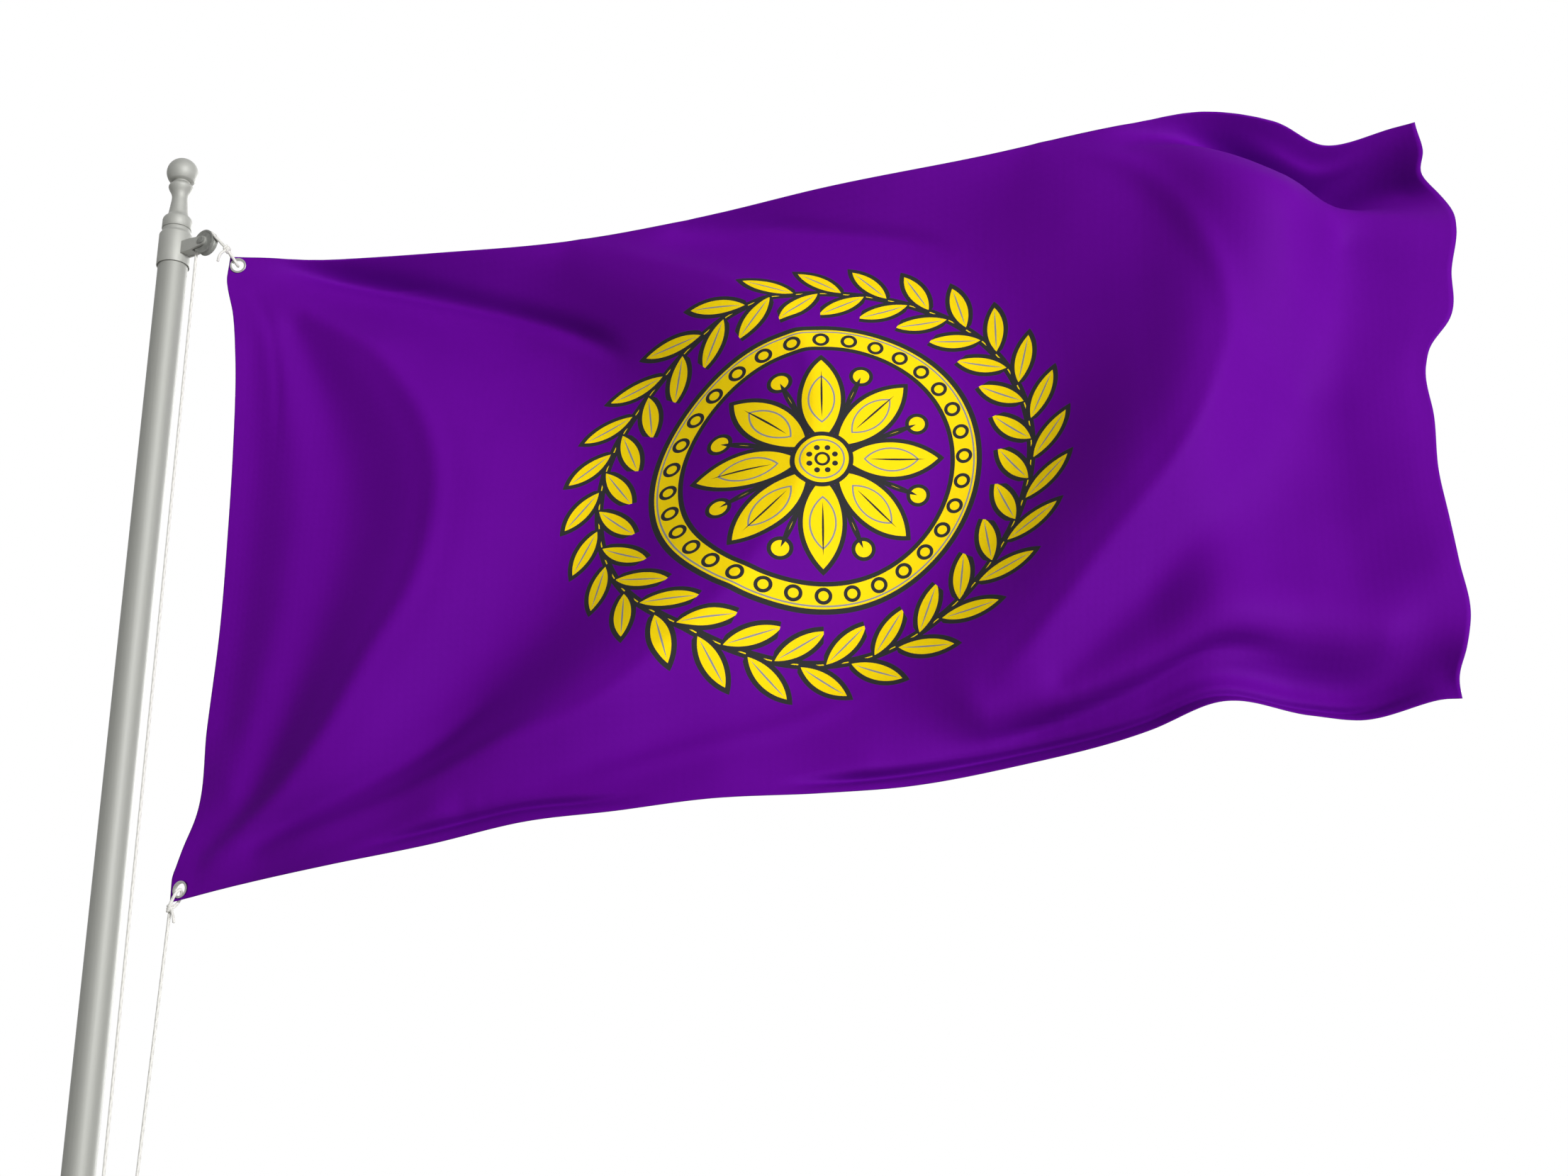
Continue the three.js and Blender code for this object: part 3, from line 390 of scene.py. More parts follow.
def printed_polyester():
    """Woven polyester flag cloth, dyed purple and printed through: a matt cloth with a faint weave."""
    material, tree, shader = new_material(
        "printed_woven_polyester", Roughness=0.7, Specular_IOR_Level=0.04)
    place = add(tree, "ShaderNodeTexCoord", {}, {}).outputs["UV"]
    centred = add(tree, "ShaderNodeVectorMath", {"operation": "MULTIPLY_ADD"}, {
        0: place, 1: (1 / MM, 1 / MM, 0), 2: (-FLY / 2, -DROP / 2, 0),
    })
    parts = add(tree, "ShaderNodeSeparateXYZ", {}, {0: centred.outputs[0]})
    distance = add(tree, "ShaderNodeVectorMath", {"operation": "LENGTH"}, {0: centred.outputs[0]})
    polar = distance.outputs["Value"], calculated(tree, "ARCTAN2", parts.outputs["Y"], parts.outputs["X"])
    # The dye takes a little unevenly over a hand's breadth
    ground = mottled(tree, place, 9.0, 3.0, PURPLE_TONES)[1]
    colour = ground
    for row in DESIGN:
        fill, outline = row[7:]
        edge = design_mask(tree, polar, row)
        layers = [(outline / 2, LINE_DARK), (-outline / 2, fill)] if outline else [(0, fill)]
        for offset, paint in layers:
            inside = calculated(tree, "LESS_THAN", edge, offset)
            colour = add(tree, "ShaderNodeMix", {"data_type": "RGBA"}, {
                "Factor": inside, "A": colour, "B": ground if paint is GROUND else linear(paint),
            }).outputs["Result"]
    # Threads are 0.4 mm apart; drawn 1.6 mm apart, as a render can show no finer
    threads = []
    for direction in ("X", "Y"):
        threads.append(add(tree, "ShaderNodeTexWave", {"bands_direction": direction}, {
            "Vector": place, "Scale": 1 / (1.6 * MM) / 20,
        }).outputs["Fac"])
    dress(tree, shader, colour, calculated(tree, "MULTIPLY", *threads), 0.08)
    return material


# Mesh helpers

def new_piece(name, points, faces, material, body, slot, uv=None, sharp=35):
    """A mesh piece in the row frame, given in millimetres, smooth but for its sharp edges."""
    mesh = bpy.data.meshes.new(name)
    mesh.from_pydata((np.asarray(points, dtype=float) * MM).tolist(), [], faces)
    mesh.validate()
    mesh.materials.append(material)
    mesh.shade_smooth()
    mesh.set_sharp_from_angle(angle=math.radians(sharp))
    if uv is not None:
        layer = mesh.uv_layers.new(name="flat")
        corners = np.empty(len(mesh.loops), dtype=int)
        mesh.loops.foreach_get("vertex_index", corners)
        layer.data.foreach_set("uv", (np.asarray(uv, dtype=float)[corners] * MM).ravel())
    piece = bpy.data.objects.new(name, mesh)
    bpy.context.scene.collection.objects.link(piece)
    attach(piece, body)
    return piece


def mirrored(half):
    """A whole profile from its lower half."""
    return half + [(radius, -height) for radius, height in reversed(half)]


def softened(profile, radius):
    """A profile with each corner off the axis rounded by up to radius."""
    made = []
    count = len(profile)
    for i, corner in enumerate(profile):
        here = np.array(corner, dtype=float)
        if here[0] == 0:
            made.append(tuple(here))
            continue
        arms = [np.array(profile[(i + step) % count], dtype=float) - here for step in (-1, 1)]
        lengths = [np.linalg.norm(arm) for arm in arms]
        cut = min(radius, lengths[0] / 2.2, lengths[1] / 2.2)
        ends = [here + arm * cut / length for arm, length in zip(arms, lengths)]
        for share in (0, 0.5, 1):
            point = (1 - share) ** 2 * ends[0] + 2 * share * (1 - share) * here + share ** 2 * ends[1]
            made.append(tuple(point))
    return made


def turned(profile, sides=96, closed=True):
    """Points and faces of a profile turned about +Z; closed joins its last row to its first."""
    points, rows = [], []
    for radius, height in profile:
        if radius < 1e-6:
            rows.append([len(points)] * sides)
            points.append((0, 0, height))
            continue
        rows.append(list(range(len(points), len(points) + sides)))
        for side in range(sides):
            angle = 2 * math.pi * side / sides
            points.append((radius * math.cos(angle), radius * math.sin(angle), height))
    faces = []
    last = len(rows) if closed else len(rows) - 1
    for i in range(last):
        low, high = rows[i], rows[(i + 1) % len(rows)]
        for side in range(sides):
            other = (side + 1) % sides
            corners = []
            for corner in (low[side], low[other], high[other], high[side]):
                if corner not in corners:
                    corners.append(corner)
            if len(corners) > 2:
                faces.append(corners)
    return np.array(points), faces


def joined(*shapes):
    """Points and faces of several shapes as one."""
    points, faces, start = [], [], 0
    for shape_points, shape_faces in shapes:
        points.append(np.asarray(shape_points, dtype=float))
        faces += [[corner + start for corner in face] for face in shape_faces]
        start += len(shape_points)
    return np.concatenate(points), faces


def moved(points, matrix):
    """Points turned and moved by a matrix."""
    return np.array([matrix @ Vector(point) for point in points])


def slab(outline, low, high):
    """A flat plate from an outline, between two heights."""
    count = len(outline)
    points = [(x, y, low) for x, y in outline] + [(x, y, high) for x, y in outline]
    faces = [list(range(count))[::-1], list(range(count, 2 * count))]
    faces += [[i, (i + 1) % count, count + (i + 1) % count, count + i] for i in range(count)]
    return np.array(points), faces


def soft_edges(piece, width_mm):
    """Rounds the edges of a piece that are sharper than 40 degrees."""
    modifier = piece.modifiers.new("soft edges", "BEVEL")
    modifier.width = width_mm * MM
    modifier.segments = 2
    modifier.limit_method = "ANGLE"
    modifier.angle_limit = math.radians(40)
    modifier.harden_normals = True


def along_arm(turn, reach, height):
    """A place on an arm that is turned about the pole, by its reach and height."""
    return np.array([reach * math.cos(turn), reach * math.sin(turn), height])


def blend(t, start, end, first, last):
    """The value at t on a straight run from first, at start, to last, at end."""
    return ((end - t) * first + (t - start) * last) / (end - start)


def smooth_line(points, per_span, closed=False):
    """A centripetal curve through points, as a finer list of points."""
    points = np.asarray(points, dtype=float)
    if closed:
        points = np.concatenate([points[-1:], points, points[:2]])
    else:
        points = np.concatenate([[2 * points[0] - points[1]], points, [2 * points[-1] - points[-2]]])
    made = []
    for i in range(1, len(points) - 2):
        p = points[i - 1:i + 3]
        knots = np.concatenate([[0], np.cumsum(np.sqrt(np.linalg.norm(np.diff(p, axis=0), axis=1)))])
        for share in np.arange(per_span) / per_span:
            t = knots[1] + share * (knots[2] - knots[1])
            rows = list(p)
            for level in (1, 2):
                rows = [
                    blend(t, knots[k], knots[k + level], rows[k], rows[k + 1]) for k in range(len(rows) - 1)
                ]
            made.append(blend(t, knots[1], knots[2], rows[0], rows[1]))
    if not closed:
        made.append(points[-2])
    return np.array(made)


def tube(line, radius, sides=12, closed=False):
    """Points, faces and flat places of a round cord along a line, with rounded ends."""
    line = np.asarray(line, dtype=float)
    count = len(line)
    if closed:
        along = np.roll(line, -1, axis=0) - np.roll(line, 1, axis=0)
    else:
        along = np.gradient(line, axis=0)
    along /= np.linalg.norm(along, axis=1)[:, None]
    side = np.cross(along[0], (0.3, 1, 0.2))
    points, uv = [], []
    rows = []
    travelled = 0
    for i in range(count):
        side = side - along[i] * np.dot(side, along[i])
        side /= np.linalg.norm(side)
        up = np.cross(along[i], side)
        if i:
            travelled += np.linalg.norm(line[i] - line[i - 1])
        rows.append(len(points))
        for k in range(sides):
            angle = 2 * math.pi * k / sides
            points.append(line[i] + radius * (math.cos(angle) * side + math.sin(angle) * up))
            uv.append((2 * math.pi * radius * abs(2 * k / sides - 1), travelled))
    faces = []
    for i in range(count if closed else count - 1):
        low, high = rows[i], rows[(i + 1) % count]
        for k in range(sides):
            other = (k + 1) % sides
            faces.append([low + k, low + other, high + other, high + k])
    if not closed:
        for end, row, sign in ((0, rows[0], -1), (-1, rows[-1], 1)):
            points.append(line[end] + along[end] * radius * 0.55 * sign)
            uv.append((0, 0))
            tip = len(points) - 1
            for k in range(sides):
                other = (k + 1) % sides
                faces.append([row + other, row + k, tip] if sign < 0 else [row + k, row + other, tip])
    return np.array(points), faces, np.array(uv)


def joined_tubes(*tubes):
    """Points, faces and flat places of several cords as one."""
    points, faces = joined(*[(tube_points, tube_faces) for tube_points, tube_faces, _ in tubes])
    return points, faces, np.concatenate([uv for _, _, uv in tubes])


# The cloth's surface

def smooth_column(table, column, place):
    """Smooth curve through a table's rows at each place; the first column is the place along it."""
    table = np.array(table, dtype=float)
    span = np.diff(table[:, 0])
    slope = np.diff(table[:, column]) / span
    tangent = np.empty(len(table))
    tangent[0], tangent[-1] = slope[0], slope[-1]
    tangent[1:-1] = (slope[:-1] * span[1:] + slope[1:] * span[:-1]) / (span[:-1] + span[1:])
    row = np.clip(np.searchsorted(table[:, 0], place, side="right") - 1, 0, len(table) - 2)
    width = span[row]
    t = (place - table[row, 0]) / width
    first, last = table[row, column], table[row + 1, column]
    return ((2 * t ** 3 - 3 * t ** 2 + 1) * first + (t ** 3 - 2 * t ** 2 + t) * width * tangent[row]
            + (3 * t ** 2 - 2 * t ** 3) * last + (t ** 3 - t ** 2) * width * tangent[row + 1])


def fold_points(line):
    """A fold's line at even steps: shares of the fly and of the drop, and depth."""
    line = np.array(line, dtype=float)
    steps = np.linalg.norm(np.diff(line[:, :2], axis=0) * (FLY, DROP), axis=1)
    length = np.concatenate([[0], np.cumsum(steps)])
    places = np.linspace(0, length[-1], max(4, int(length[-1] // FOLD_STEP) + 1))
    table = np.column_stack([length, line])
    return np.column_stack([smooth_column(table, column, places) for column in (1, 2, 3)])


def bend(dx, dy):
    """How a thin plate bends at a distance from a point that is pushed."""
    square = dx * dx + dy * dy
    return np.where(square > 0, square * np.log(np.where(square > 0, square, 1)), 0)


def fit_relief():
    """The relief that bends least through all fold points."""
    rows = np.concatenate([fold_points(line) for line in FOLDS.values()])
    x, y = rows[:, 0] * FLY * MM, rows[:, 1] * DROP * MM
    count = len(rows)
    matrix = np.zeros((count + 3, count + 3))
    matrix[:count, :count] = bend(x[:, None] - x, y[:, None] - y) + FOLD_SLACK * np.eye(count)
    plane = np.column_stack([np.ones(count), x, y])
    matrix[:count, count:] = plane
    matrix[count:, :count] = plane.T
    weights = np.linalg.solve(matrix, np.concatenate([rows[:, 2], np.zeros(3)]))

    def relief(share, fall):
        u, v = np.ravel(share) * FLY * MM, np.ravel(fall) * DROP * MM
        depth = weights[count] + weights[count + 1] * u + weights[count + 2] * v
        depth = depth + bend(u[:, None] - x, v[:, None] - y) @ weights[:count]
        return depth.reshape(np.shape(share))

    return relief


relief_at = fit_relief()


def draped_point(share, fall):
    """Points of the hanging cloth, by share of the fly and of the drop."""
    top, bottom = (
        [smooth_column(edge, column, share) for column in (1, 2, 3)] for edge in (TOP_EDGE, BOTTOM_EDGE)
    )
    x, y, z = (a + (b - a) * fall for a, b in zip(top, bottom))
    x = x + smooth_column(HOIST_BOW, 1, fall) * np.maximum(0, 1 - share / HOIST_BOW_REACH) ** 2
    x = x + smooth_column(FLY_BOW, 1, fall) * np.maximum(0, 1 - (1 - share) / FLY_BOW_REACH) ** 2
    return np.stack([x, y - relief_at(share, fall), z], axis=-1)


def eyelet_plane(fall_length):
    """The flat place round an eyelet: its place on the cloth, centre, slopes and normal."""
    share, fall, step = EYELET["from_hoist"] / FLY, fall_length / DROP, 1e-3
    shares = np.array([share, share + step, share - step, share, share])
    falls = np.array([fall, fall, fall, fall + step, fall - step])
    points = draped_point(shares, falls)
    across, down = (points[1] - points[2]) / (2 * step), (points[3] - points[4]) / (2 * step)
    normal = -np.cross(across, down)
    return share, fall, points[0], across, down, normal / np.linalg.norm(normal)


PLANES = {name: eyelet_plane(fall_length) for name, fall_length in EYELET_FALLS.items()}


def crease_depth(share, fall):
    """The depth that the sharper lines add, in millimetres towards the viewer."""
    place = np.stack([share * FLY, fall * DROP], axis=-1)
    total = np.zeros(share.shape)
    for line, depth, width in CREASES:
        rows = FOLDS[line] if isinstance(line, str) else [(*row, 0) for row in line]
        points = fold_points(rows)[:, :2] * (FLY, DROP)
        steps = np.diff(points, axis=0)
        lengths = np.linalg.norm(steps, axis=1)
        starts = np.cumsum(lengths) - lengths
        nearest = np.full(share.shape, np.inf)
        along = np.zeros(share.shape)
        for point, step, length, start in zip(points, steps, lengths, starts):
            part = np.clip((place - point) @ step / length ** 2, 0, 1)
            gap = np.linalg.norm(place - point - part[..., None] * step, axis=-1)
            along = np.where(gap < nearest, start + part * length, along)
            nearest = np.minimum(gap, nearest)
        fade = np.clip(np.minimum(along, lengths.sum() - along) / CREASE_FADE, 0, 1)
        total += depth * fade * fade * (3 - 2 * fade) * np.exp(-(nearest / width) ** 2)
    return total


def cloth_point(share, fall):
    """Points of the hanging cloth with its creases, laid flat round the eyelets."""
    points = draped_point(share, fall)
    points[..., 1] -= crease_depth(share, fall)
    for at_share, at_fall, centre, across, down, _ in PLANES.values():
        ds, df = share - at_share, fall - at_fall
        reach = np.hypot(ds * FLY, df * DROP)
        t = np.clip((reach - FLAT_INNER) / (FLAT_OUTER - FLAT_INNER), 0, 1)
        flat = (1 - t * t * (3 - 2 * t))[..., None]
        level = centre + ds[..., None] * across + df[..., None] * down
        points = points * (1 - flat) + level * flat
    return points


# Camera first, then the ropes

def make_camera():
    """The photograph's view: low, tilted up, straight along +Y."""
    data = bpy.data.cameras.new("camera")
    data.sensor_width = 36
    data.lens = CAMERA_LENS_MM
    camera = bpy.data.objects.new("camera", data)
    camera.location = CAMERA_PLACE
    camera.rotation_euler = (math.radians(90 + CAMERA_TILT), 0, 0)
    bpy.context.scene.collection.objects.link(camera)
    bpy.context.scene.camera = camera


def halyard_route():
    """The halyard's line from the belaying arm up, over the pulley and to the top knot."""
    wrap = PULLEY["groove"] + ROPE_RADIUS + GAP
    start = along_arm(BELAY["turn"], HALYARD_REACH, ROPE_END_HEIGHT)
    lift = along_arm(ARM_TURN, PULLEY["reach"] - wrap, PULLEY["height"])
    points = []
    for height in (
        ROPE_END_HEIGHT, 352, 420, 520, 630, 740, 850, 960, 1070, 1180, 1290, 1390, 1470, 1530, 1570, 1594,
    ):
        share = (height - start[2]) / (lift[2] - start[2])
        point = start + (lift - start) * share
        points.append((point[0], point[1], height))
    turns = 9
    for turn in range(turns + 1):
        angle = math.pi - (math.pi - ROPE_LEAVES) * turn / turns
        reach = PULLEY["reach"] + wrap * math.cos(angle)
        points.append(along_arm(ARM_TURN, reach, PULLEY["height"] + wrap * math.sin(angle)))
    last, knot = points[-1], np.array(KNOT_TOP)
    towards = (knot - last) / np.linalg.norm(knot - last)
    end = knot - towards * (KNOT_RADIUS + 0.5)
    return points + [(last + end) / 2, end]


def downhaul_route():
    """The downhaul's line from the bottom knot to the belaying arm."""
    end = along_arm(BELAY["turn"], DOWNHAUL_REACH, ROPE_END_HEIGHT)
    start = np.array(KNOT_BOTTOM, dtype=float)
    start += (end - start) / np.linalg.norm(end - start) * (KNOT_RADIUS + 0.5)
    return [start + (end - start) * i / 14 for i in range(15)]


def knot_turns(centre, along, turns=2.6, radius=3.0, pitch=3.1):
    """The line of a few tight turns round a rope."""
    along = np.array(along, dtype=float)
    along /= np.linalg.norm(along)
    side = np.cross(along, (0, 1, 0.1))
    side /= np.linalg.norm(side)
    up = np.cross(along, side)
    line = []
    for step in range(int(turns * 12) + 1):
        angle = 2 * math.pi * step / 12
        lift = (step / (turns * 12) - 0.5) * turns * pitch
        around = math.cos(angle) * side + math.sin(angle) * up
        line.append(np.array(centre) + lift * along + radius * around)
    return line


def make_tie(name, knot, plane, tail, standing, rope):
    """The knot, its loop through the eyelet and its free end."""
    centre, normal = plane[2], plane[5]
    knot = np.array(knot, dtype=float)
    off = np.dot(knot - centre, normal)
    outside = knot - off * normal
    middle = (outside + centre) / 2
    loop = []
    for i in range(16):
        angle = 2 * math.pi * i / 16
        loop.append(middle + (centre - middle) * math.cos(angle) + normal * HALF_LOOP * math.sin(angle)
                    + (knot - outside) * ((1 - math.cos(angle)) / 2) ** LOOP_DRAWN_IN)
    turns = knot_turns(knot, knot - np.array(standing))
    parts = [
        tube(smooth_line(loop, 3, closed=True), ROPE_RADIUS, closed=True),
        tube(turns, KNOT_ROPE_RADIUS),
        tube(smooth_line([knot, *tail], 5), ROPE_RADIUS * 0.92),
        tube([knot + (np.array(standing) - knot) * s for s in (-0.12, 0, 0.12, 0.22)], ROPE_RADIUS),
    ]
    points, faces, uv = joined_tubes(*parts)
    piece = new_piece(name + "_knot", points, faces, rope, "flagpole", "white_rope", uv, sharp=80)
    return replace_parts(piece, name)


def make_ropes():
    """The halyard and the downhaul, with the knots at their ends."""
    rope = braided_rope()
    routes = {"halyard": halyard_route(), "downhaul": downhaul_route()}
    ties = {
        "halyard": make_tie("tie_top", KNOT_TOP, PLANES["eyelet_top"], TAIL_TOP, routes["halyard"][-2], rope),
        "downhaul": make_tie("tie_bottom", KNOT_BOTTOM, PLANES["eyelet_bottom"], TAIL_BOTTOM,
                             routes["downhaul"][1], rope),
    }
    for name, reach in (("stopper_halyard", HALYARD_REACH), ("stopper_downhaul", DOWNHAUL_REACH)):
        centre = along_arm(BELAY["turn"], reach, STOPPER["height"])
        line = knot_turns(centre, (0, 0, 1), STOPPER["turns"], STOPPER["radius"], STOPPER["pitch"])
        core = tube([centre + (0, 0, lift) for lift in (-4.2, -2, 0, 2, 4.6)], STOPPER["core_radius"])
        points, faces, uv = joined_tubes(tube(line, STOPPER["rope_radius"]), core)
        piece = new_piece(name + "_knot", points, faces, rope, "flagpole", "white_rope", uv, sharp=80)
        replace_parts(piece, name)
        ties[name] = piece
    for name, route in routes.items():
        line = smooth_line(route, 8)
        points, faces, uv = tube(line, ROPE_RADIUS)
        piece = new_piece(name + "_line", points, faces, rope, "flagpole", "white_rope", uv, sharp=80)
        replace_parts(piece, name)


def cloth_lines(length, both):
    """Places of the sheet's rows or columns, as shares, close together near its eyelets."""
    fine = np.arange(0, EYELET_REACH, EYELET_STEP)
    last = length - EYELET_REACH if both else length
    plain = np.linspace(EYELET_REACH, last, int((last - EYELET_REACH) / CLOTH_STEP))
    lines = [fine, plain, (length - fine)[::-1]] if both else [fine, plain]
    return np.concatenate(lines) / length


def make_cloth():
    """The flag: the surface on a fine grid, with a round hole for each eyelet."""
    shares = cloth_lines(FLY, both=False)
    falls = cloth_lines(DROP, both=True)
    share, fall = np.meshgrid(shares, falls, indexing="ij")
    points = cloth_point(share, fall)
    flat = np.stack([share * FLY, fall * DROP], axis=-1)
    removed = np.zeros(share.shape, dtype=bool)
    hole = EYELET["barrel"] + GAP
    for at_share, at_fall, centre, across, down, _ in PLANES.values():
        ds, df = (share - at_share) * FLY, (fall - at_fall) * DROP
        reach = np.hypot(ds, df)
        inside = reach < hole
        near = np.zeros_like(inside)
        for di in (-1, 0, 1):
            for dj in (-1, 0, 1):
                near |= np.roll(np.roll(inside, di, 0), dj, 1)
        rim = near & ~inside
        scale = (hole / np.maximum(reach, 1e-6))[..., None]
        snapped = centre + (ds / FLY)[..., None] * scale * across + (df / DROP)[..., None] * scale * down
        points = np.where(rim[..., None], snapped, points)
        removed |= inside
    index = np.arange(share.size).reshape(share.shape)
    keep = ~(removed[:-1, :-1] | removed[1:, :-1] | removed[:-1, 1:] | removed[1:, 1:])
    quads = np.stack([index[:-1, :-1], index[:-1, 1:], index[1:, 1:], index[1:, :-1]], axis=-1)[keep]
    used = np.unique(quads)
    renumber = np.full(share.size, -1)
    renumber[used] = np.arange(len(used))
    piece = new_piece("flag_cloth", points.reshape(-1, 3)[used], renumber[quads].tolist(),
                      printed_polyester(), "flagpole", "purple_cloth", flat.reshape(-1, 2)[used], sharp=180)
    thick = piece.modifiers.new("thickness", "SOLIDIFY")
    thick.thickness = CLOTH_THICKNESS * MM
    thick.offset = 0
    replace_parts(piece, "flag")


def on_plane(plane):
    """The matrix that turns +Z to an eyelet's normal and moves to its centre, in millimetres."""
    turn = Vector((0, 0, 1)).rotation_difference(Vector(plane[5])).to_matrix().to_4x4()
    return Matrix.Translation(Vector(plane[2])) @ turn


def make_eyelets():
    nickel = bright_nickel()
    lip, seat = -EYELET["lip"], -EYELET["seat"]
    profile = mirrored([
        (EYELET["inner"], lip), (EYELET["flange"], lip), (EYELET["flange"], seat), (EYELET["barrel"], seat),
    ])
    points, faces = turned(softened(profile, 0.7), 64)
    for name, plane in PLANES.items():
        placed = moved(points, on_plane(plane))
        piece = new_piece(name + "_ring", placed, faces, nickel, "flagpole", "eyelet_metal")
        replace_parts(piece, name)


def make_pole():
    inside, start = POLE_RADIUS - POLE_WALL, FOOT["thickness"] + GAP
    profile = [(inside, start), (POLE_RADIUS, start), (POLE_RADIUS, POLE_TOP), (inside, POLE_TOP)]
    points, faces = turned(profile, 128)
    piece = new_piece("pole_tube", points, faces, drawn_aluminium(), "flagpole", "pole_aluminium")
    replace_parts(piece, "pole")


def make_foot():
    plate, top, socket, fillet = FOOT["radius"], FOOT["thickness"], FOOT["socket_radius"], FOOT["fillet"]
    bore, rim = POLE_RADIUS + 2 * GAP, FOOT["socket_height"]
    profile = [
        (0, 0), (plate, 0), (plate, top), (socket + fillet, top), (socket, top + fillet), (socket, rim),
        (bore, rim), (bore, top), (0, top),
    ]
    points, faces = turned(softened(profile, 1.8), 160, closed=False)
    piece = new_piece("foot_plate", points, faces, painted_steel(), "flagpole", "foot_steel")
    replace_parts(piece, "foot")


def arc(centre, radius, first, last, steps):
    """Places on an arc between two angles."""
    for i in range(steps + 1):
        angle = first + (last - first) * i / steps
        yield centre[0] + radius * math.cos(angle), centre[1] + radius * math.sin(angle)


def across_arm(reach):
    """The matrix that stands a flat shape upright along the pulley's arm, at a reach from the pole's axis."""
    centre = Vector(along_arm(ARM_TURN, reach, PULLEY["height"]))
    return (Matrix.Translation(centre) @ Matrix.Rotation(ARM_TURN, 4, "Z")
            @ Matrix.Rotation(math.pi / 2, 4, "X"))


def make_truck(metal):
    """The sleeve over the pole's head, with a neck above and two cheeks that hold the pulley."""
    s, c, bore = SLEEVE, CHEEK, POLE_RADIUS + 2 * GAP
    profile = [(bore, s["foot"]), (s["radius"], s["foot"]), (s["radius"], s["shoulder"]),
               (s["neck_radius"], s["neck"]), (s["neck_radius"], s["top"]), (0, s["top"]),
               (0, POLE_TOP + GAP), (bore, POLE_TOP + GAP)]
    sleeve = turned(softened(profile, 0.9), 128)
    half = c["root_height"] / 2
    root = s["radius"] - 1
    outline = [(root, -half), (c["block_end"] - 4, -half), (PULLEY["reach"] + 1, -c["tip_radius"]),
               *arc((PULLEY["reach"], 0), c["tip_radius"], -math.pi / 2, math.pi / 2, 24),
               (c["block_end"] - 4, half), (root, half)]
    lows = (c["inner"], -c["inner"] - c["thickness"])
    plates = [slab(outline, low, low + c["thickness"]) for low in lows]
    block_half = half - 0.5
    block = slab([(root, -block_half), (c["block_end"], -block_half), (c["block_end"], block_half),
                  (root, block_half)], -c["inner"] - 0.5, c["inner"] + 0.5)
    fork = [(moved(points, across_arm(0)), faces) for points, faces in (*plates, block)]
    piece = new_piece("truck_casting", *joined(sleeve, *fork), metal, "flagpole", "pole_aluminium")
    soft_edges(piece, 0.7)
    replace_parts(piece, "truck")


def make_pulley():
    """The wheel, dished between hub and rim and grooved for the rope, and the pin it turns on."""
    p, half, place = PULLEY, PULLEY["width"] / 2, across_arm(PULLEY["reach"])
    zinc = dull_zinc()
    dish = 0.7
    profile = mirrored([
        (p["bore"], -half), (p["bore"] + 3.2, -half), (p["bore"] + 3.8, -half + dish),
        (p["radius"] - 3.2, -half + dish), (p["radius"] - 2.6, -half), (p["radius"], -half),
        (p["radius"], -half + dish), (p["groove"] + 0.6, -2.6), (p["groove"], -1.6),
    ])
    points, faces = turned(softened(profile, 0.5), 96)
    wheel = new_piece("pulley_wheel", moved(points, place), faces, zinc, "pulley", "dark_metal")
    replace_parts(wheel, "pulley")
    shank = CHEEK["inner"] + CHEEK["thickness"] + GAP
    head = shank + PIN["head"]
    profile = mirrored([
        (0, -head), (PIN["head_radius"], -head), (PIN["head_radius"], -shank), (PIN["radius"], -shank),
    ])
    points, faces = turned(softened(profile, 0.9), 48, closed=False)
    pin = new_piece("pulley_axle", moved(points, place), faces, zinc, "flagpole", "eyelet_metal")
    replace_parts(pin, "pulley_pin")


def make_finial(metal):
    """The turned stem and the ball above it."""
    start = SLEEVE["top"] + GAP
    line = smooth_line([(radius, 0, height) for radius, height in FINIAL_STEM], 5)
    stem = [(point[0], point[2]) for point in line]
    centre, radius = FINIAL_BALL["centre"], FINIAL_BALL["radius"]
    angles = np.linspace(math.asin((FINIAL_BALL["start"] - centre) / radius), math.pi / 2, 40)[:-1]
    ball = [(radius * math.cos(angle), centre + radius * math.sin(angle)) for angle in angles]
    points, faces = turned([(0, start), (19.4, start), (20, start + 0.6), *stem, *ball, (0, centre + radius)],
                           96, closed=False)
    piece = new_piece("ball_finial", points, faces, metal, "flagpole", "pole_aluminium", sharp=50)
    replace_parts(piece, "finial")


def make_belay_arm(metal):
    """A collar round the pole with a flat arm, which both ropes end under."""
    b, collar = BELAY, BELAY_COLLAR
    bore, half = POLE_RADIUS + 2 * GAP, collar["height"] / 2
    ring = turned(softened(mirrored([(bore, -half), (collar["radius"], -half)]), 1.2), 96)
    root, side = collar["radius"] - 1, b["width"] / 2
    outline = [(root, -side), *arc((b["reach"] - side, 0), side, -math.pi / 2, math.pi / 2, 16), (root, side)]
    bar = slab(outline, -b["thickness"] / 2, b["thickness"] / 2)
    place = Matrix.Translation((0, 0, b["height"])) @ Matrix.Rotation(b["turn"], 4, "Z")
    points, faces = joined(ring, bar)
    piece = new_piece("belay_arm_plate", moved(points, place), faces, metal, "flagpole", "pole_aluminium")
    soft_edges(piece, 0.6)
    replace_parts(piece, "belay_arm")


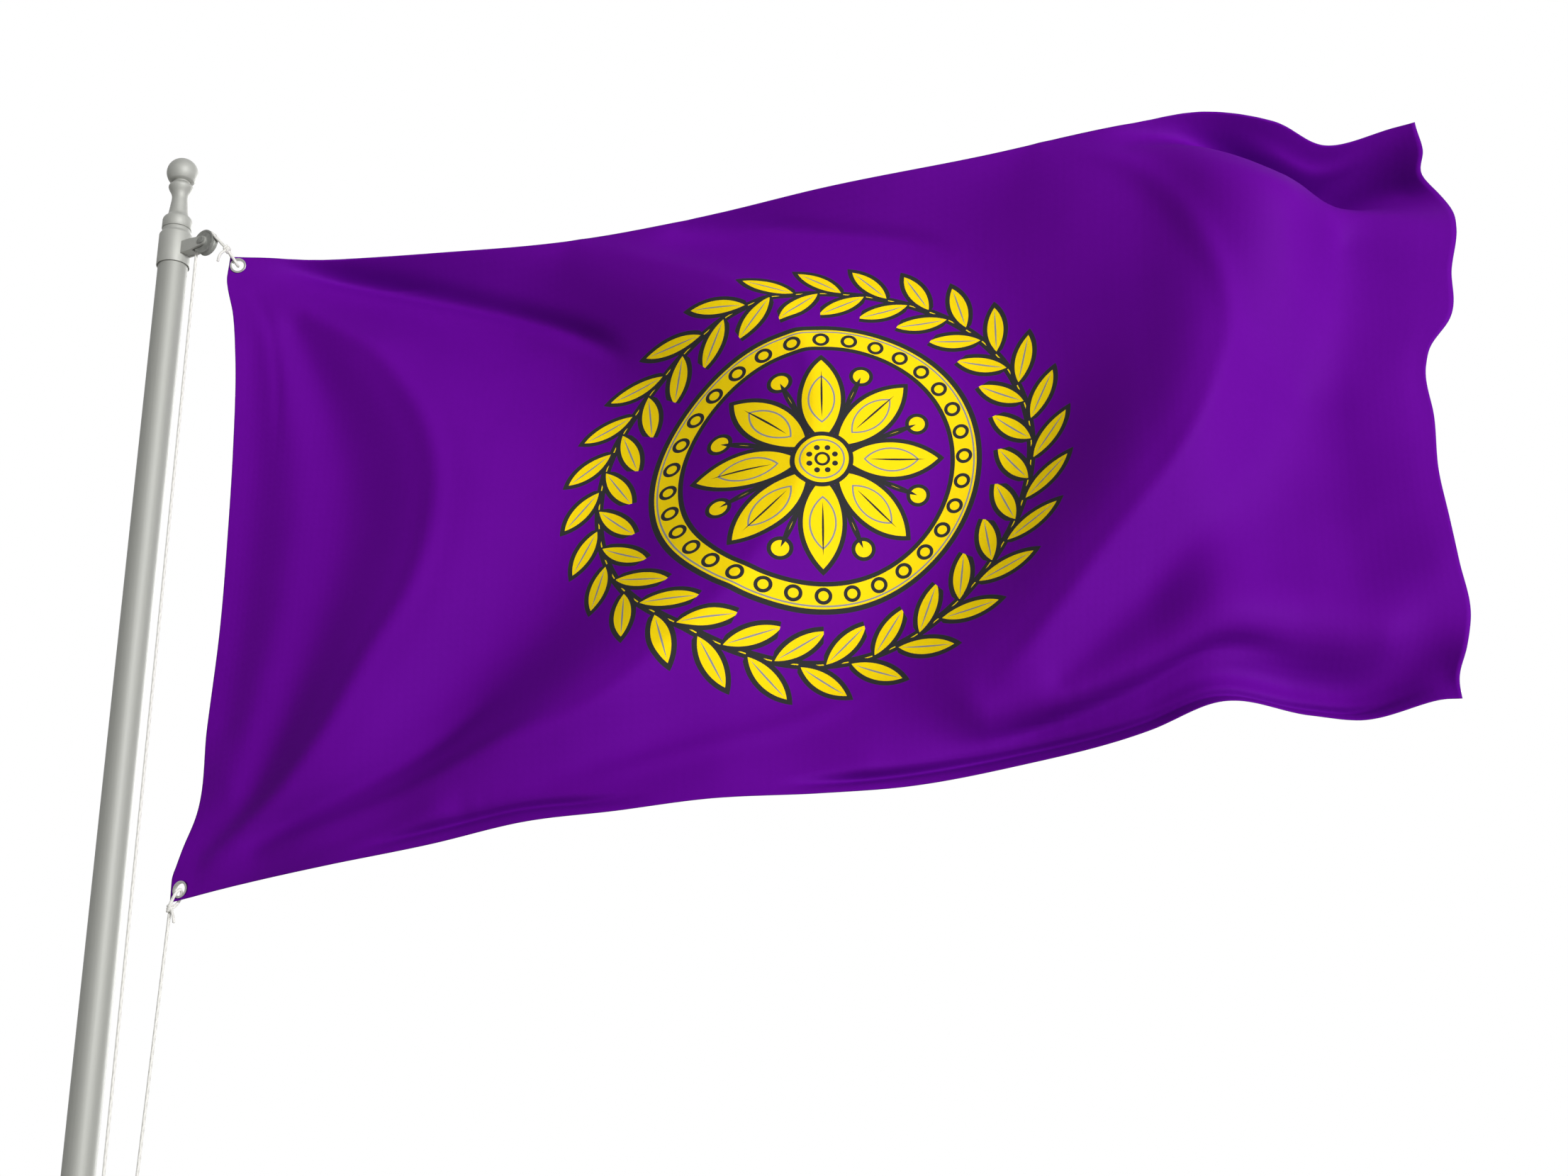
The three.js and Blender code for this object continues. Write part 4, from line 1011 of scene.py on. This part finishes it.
def make_stage():
    """A pale floor, a white room, soft light from the front right and a weaker light behind."""
    mesh = bpy.data.meshes.new("floor")
    corners = [(x * FLOOR_REACH, y * FLOOR_REACH, 0) for x, y in ((-1, -1), (1, -1), (1, 1), (-1, 1))]
    mesh.from_pydata(corners, [], [(0, 1, 2, 3)])
    floor = bpy.data.objects.new("floor", mesh)
    bpy.context.scene.collection.objects.link(floor)
    floor_paint, _, _ = new_material("pale_floor", Base_Color=linear("#E9E8E4"), Roughness=0.8)
    mesh.materials.append(floor_paint)
    world = bpy.data.worlds.new("white room")
    bpy.context.scene.world = world
    world.use_nodes = True
    tree = world.node_tree
    tree.nodes.clear()
    # Seen plainly the room is white. Metal mirrors it, brightest behind, and it fills shadows a little
    ray = add(tree, "ShaderNodeLightPath", {}, {})
    place = add(tree, "ShaderNodeTexCoord", {}, {}).outputs["Generated"]
    way = add(tree, "ShaderNodeSeparateXYZ", {}, {0: place})
    sideways = calculated(tree, "MULTIPLY_ADD", way.outputs["X"], ROOM["right"], ROOM["even"])
    in_metal = calculated(tree, "MULTIPLY_ADD", way.outputs["Y"], ROOM["behind"], sideways)
    shown = add(tree, "ShaderNodeMix", {"data_type": "FLOAT"}, {
        "Factor": ray.outputs["Is Camera Ray"], "A": in_metal, "B": 1.0,
    })
    strength = add(tree, "ShaderNodeMix", {"data_type": "FLOAT"}, {
        "Factor": ray.outputs["Is Diffuse Ray"], "A": shown.outputs["Result"], "B": ROOM["fill"],
    })
    white = add(tree, "ShaderNodeBackground", {}, {
        "Color": (1, 1, 1, 1), "Strength": strength.outputs["Result"],
    })
    add(tree, "ShaderNodeOutputWorld", {}, {"Surface": white.outputs[0]})
    for name, place, size, power in LIGHTS:
        data = bpy.data.lights.new(name, "AREA")
        data.size = size
        data.energy = power
        light = bpy.data.objects.new(name, data)
        light.location = place
        light.visible_camera = False
        aim = Vector(LIGHTS_AIM) - Vector(place)
        light.rotation_euler = aim.to_track_quat("-Z", "Y").to_euler()
        bpy.context.scene.collection.objects.link(light)


make_camera()
make_ropes()
make_eyelets()
make_cloth()
make_pole()
casting = cast_aluminium()
make_truck(casting)
make_pulley()
make_finial(casting)
make_belay_arm(casting)
make_foot()
make_stage()
bpy.context.scene.view_settings.view_transform = "Standard"
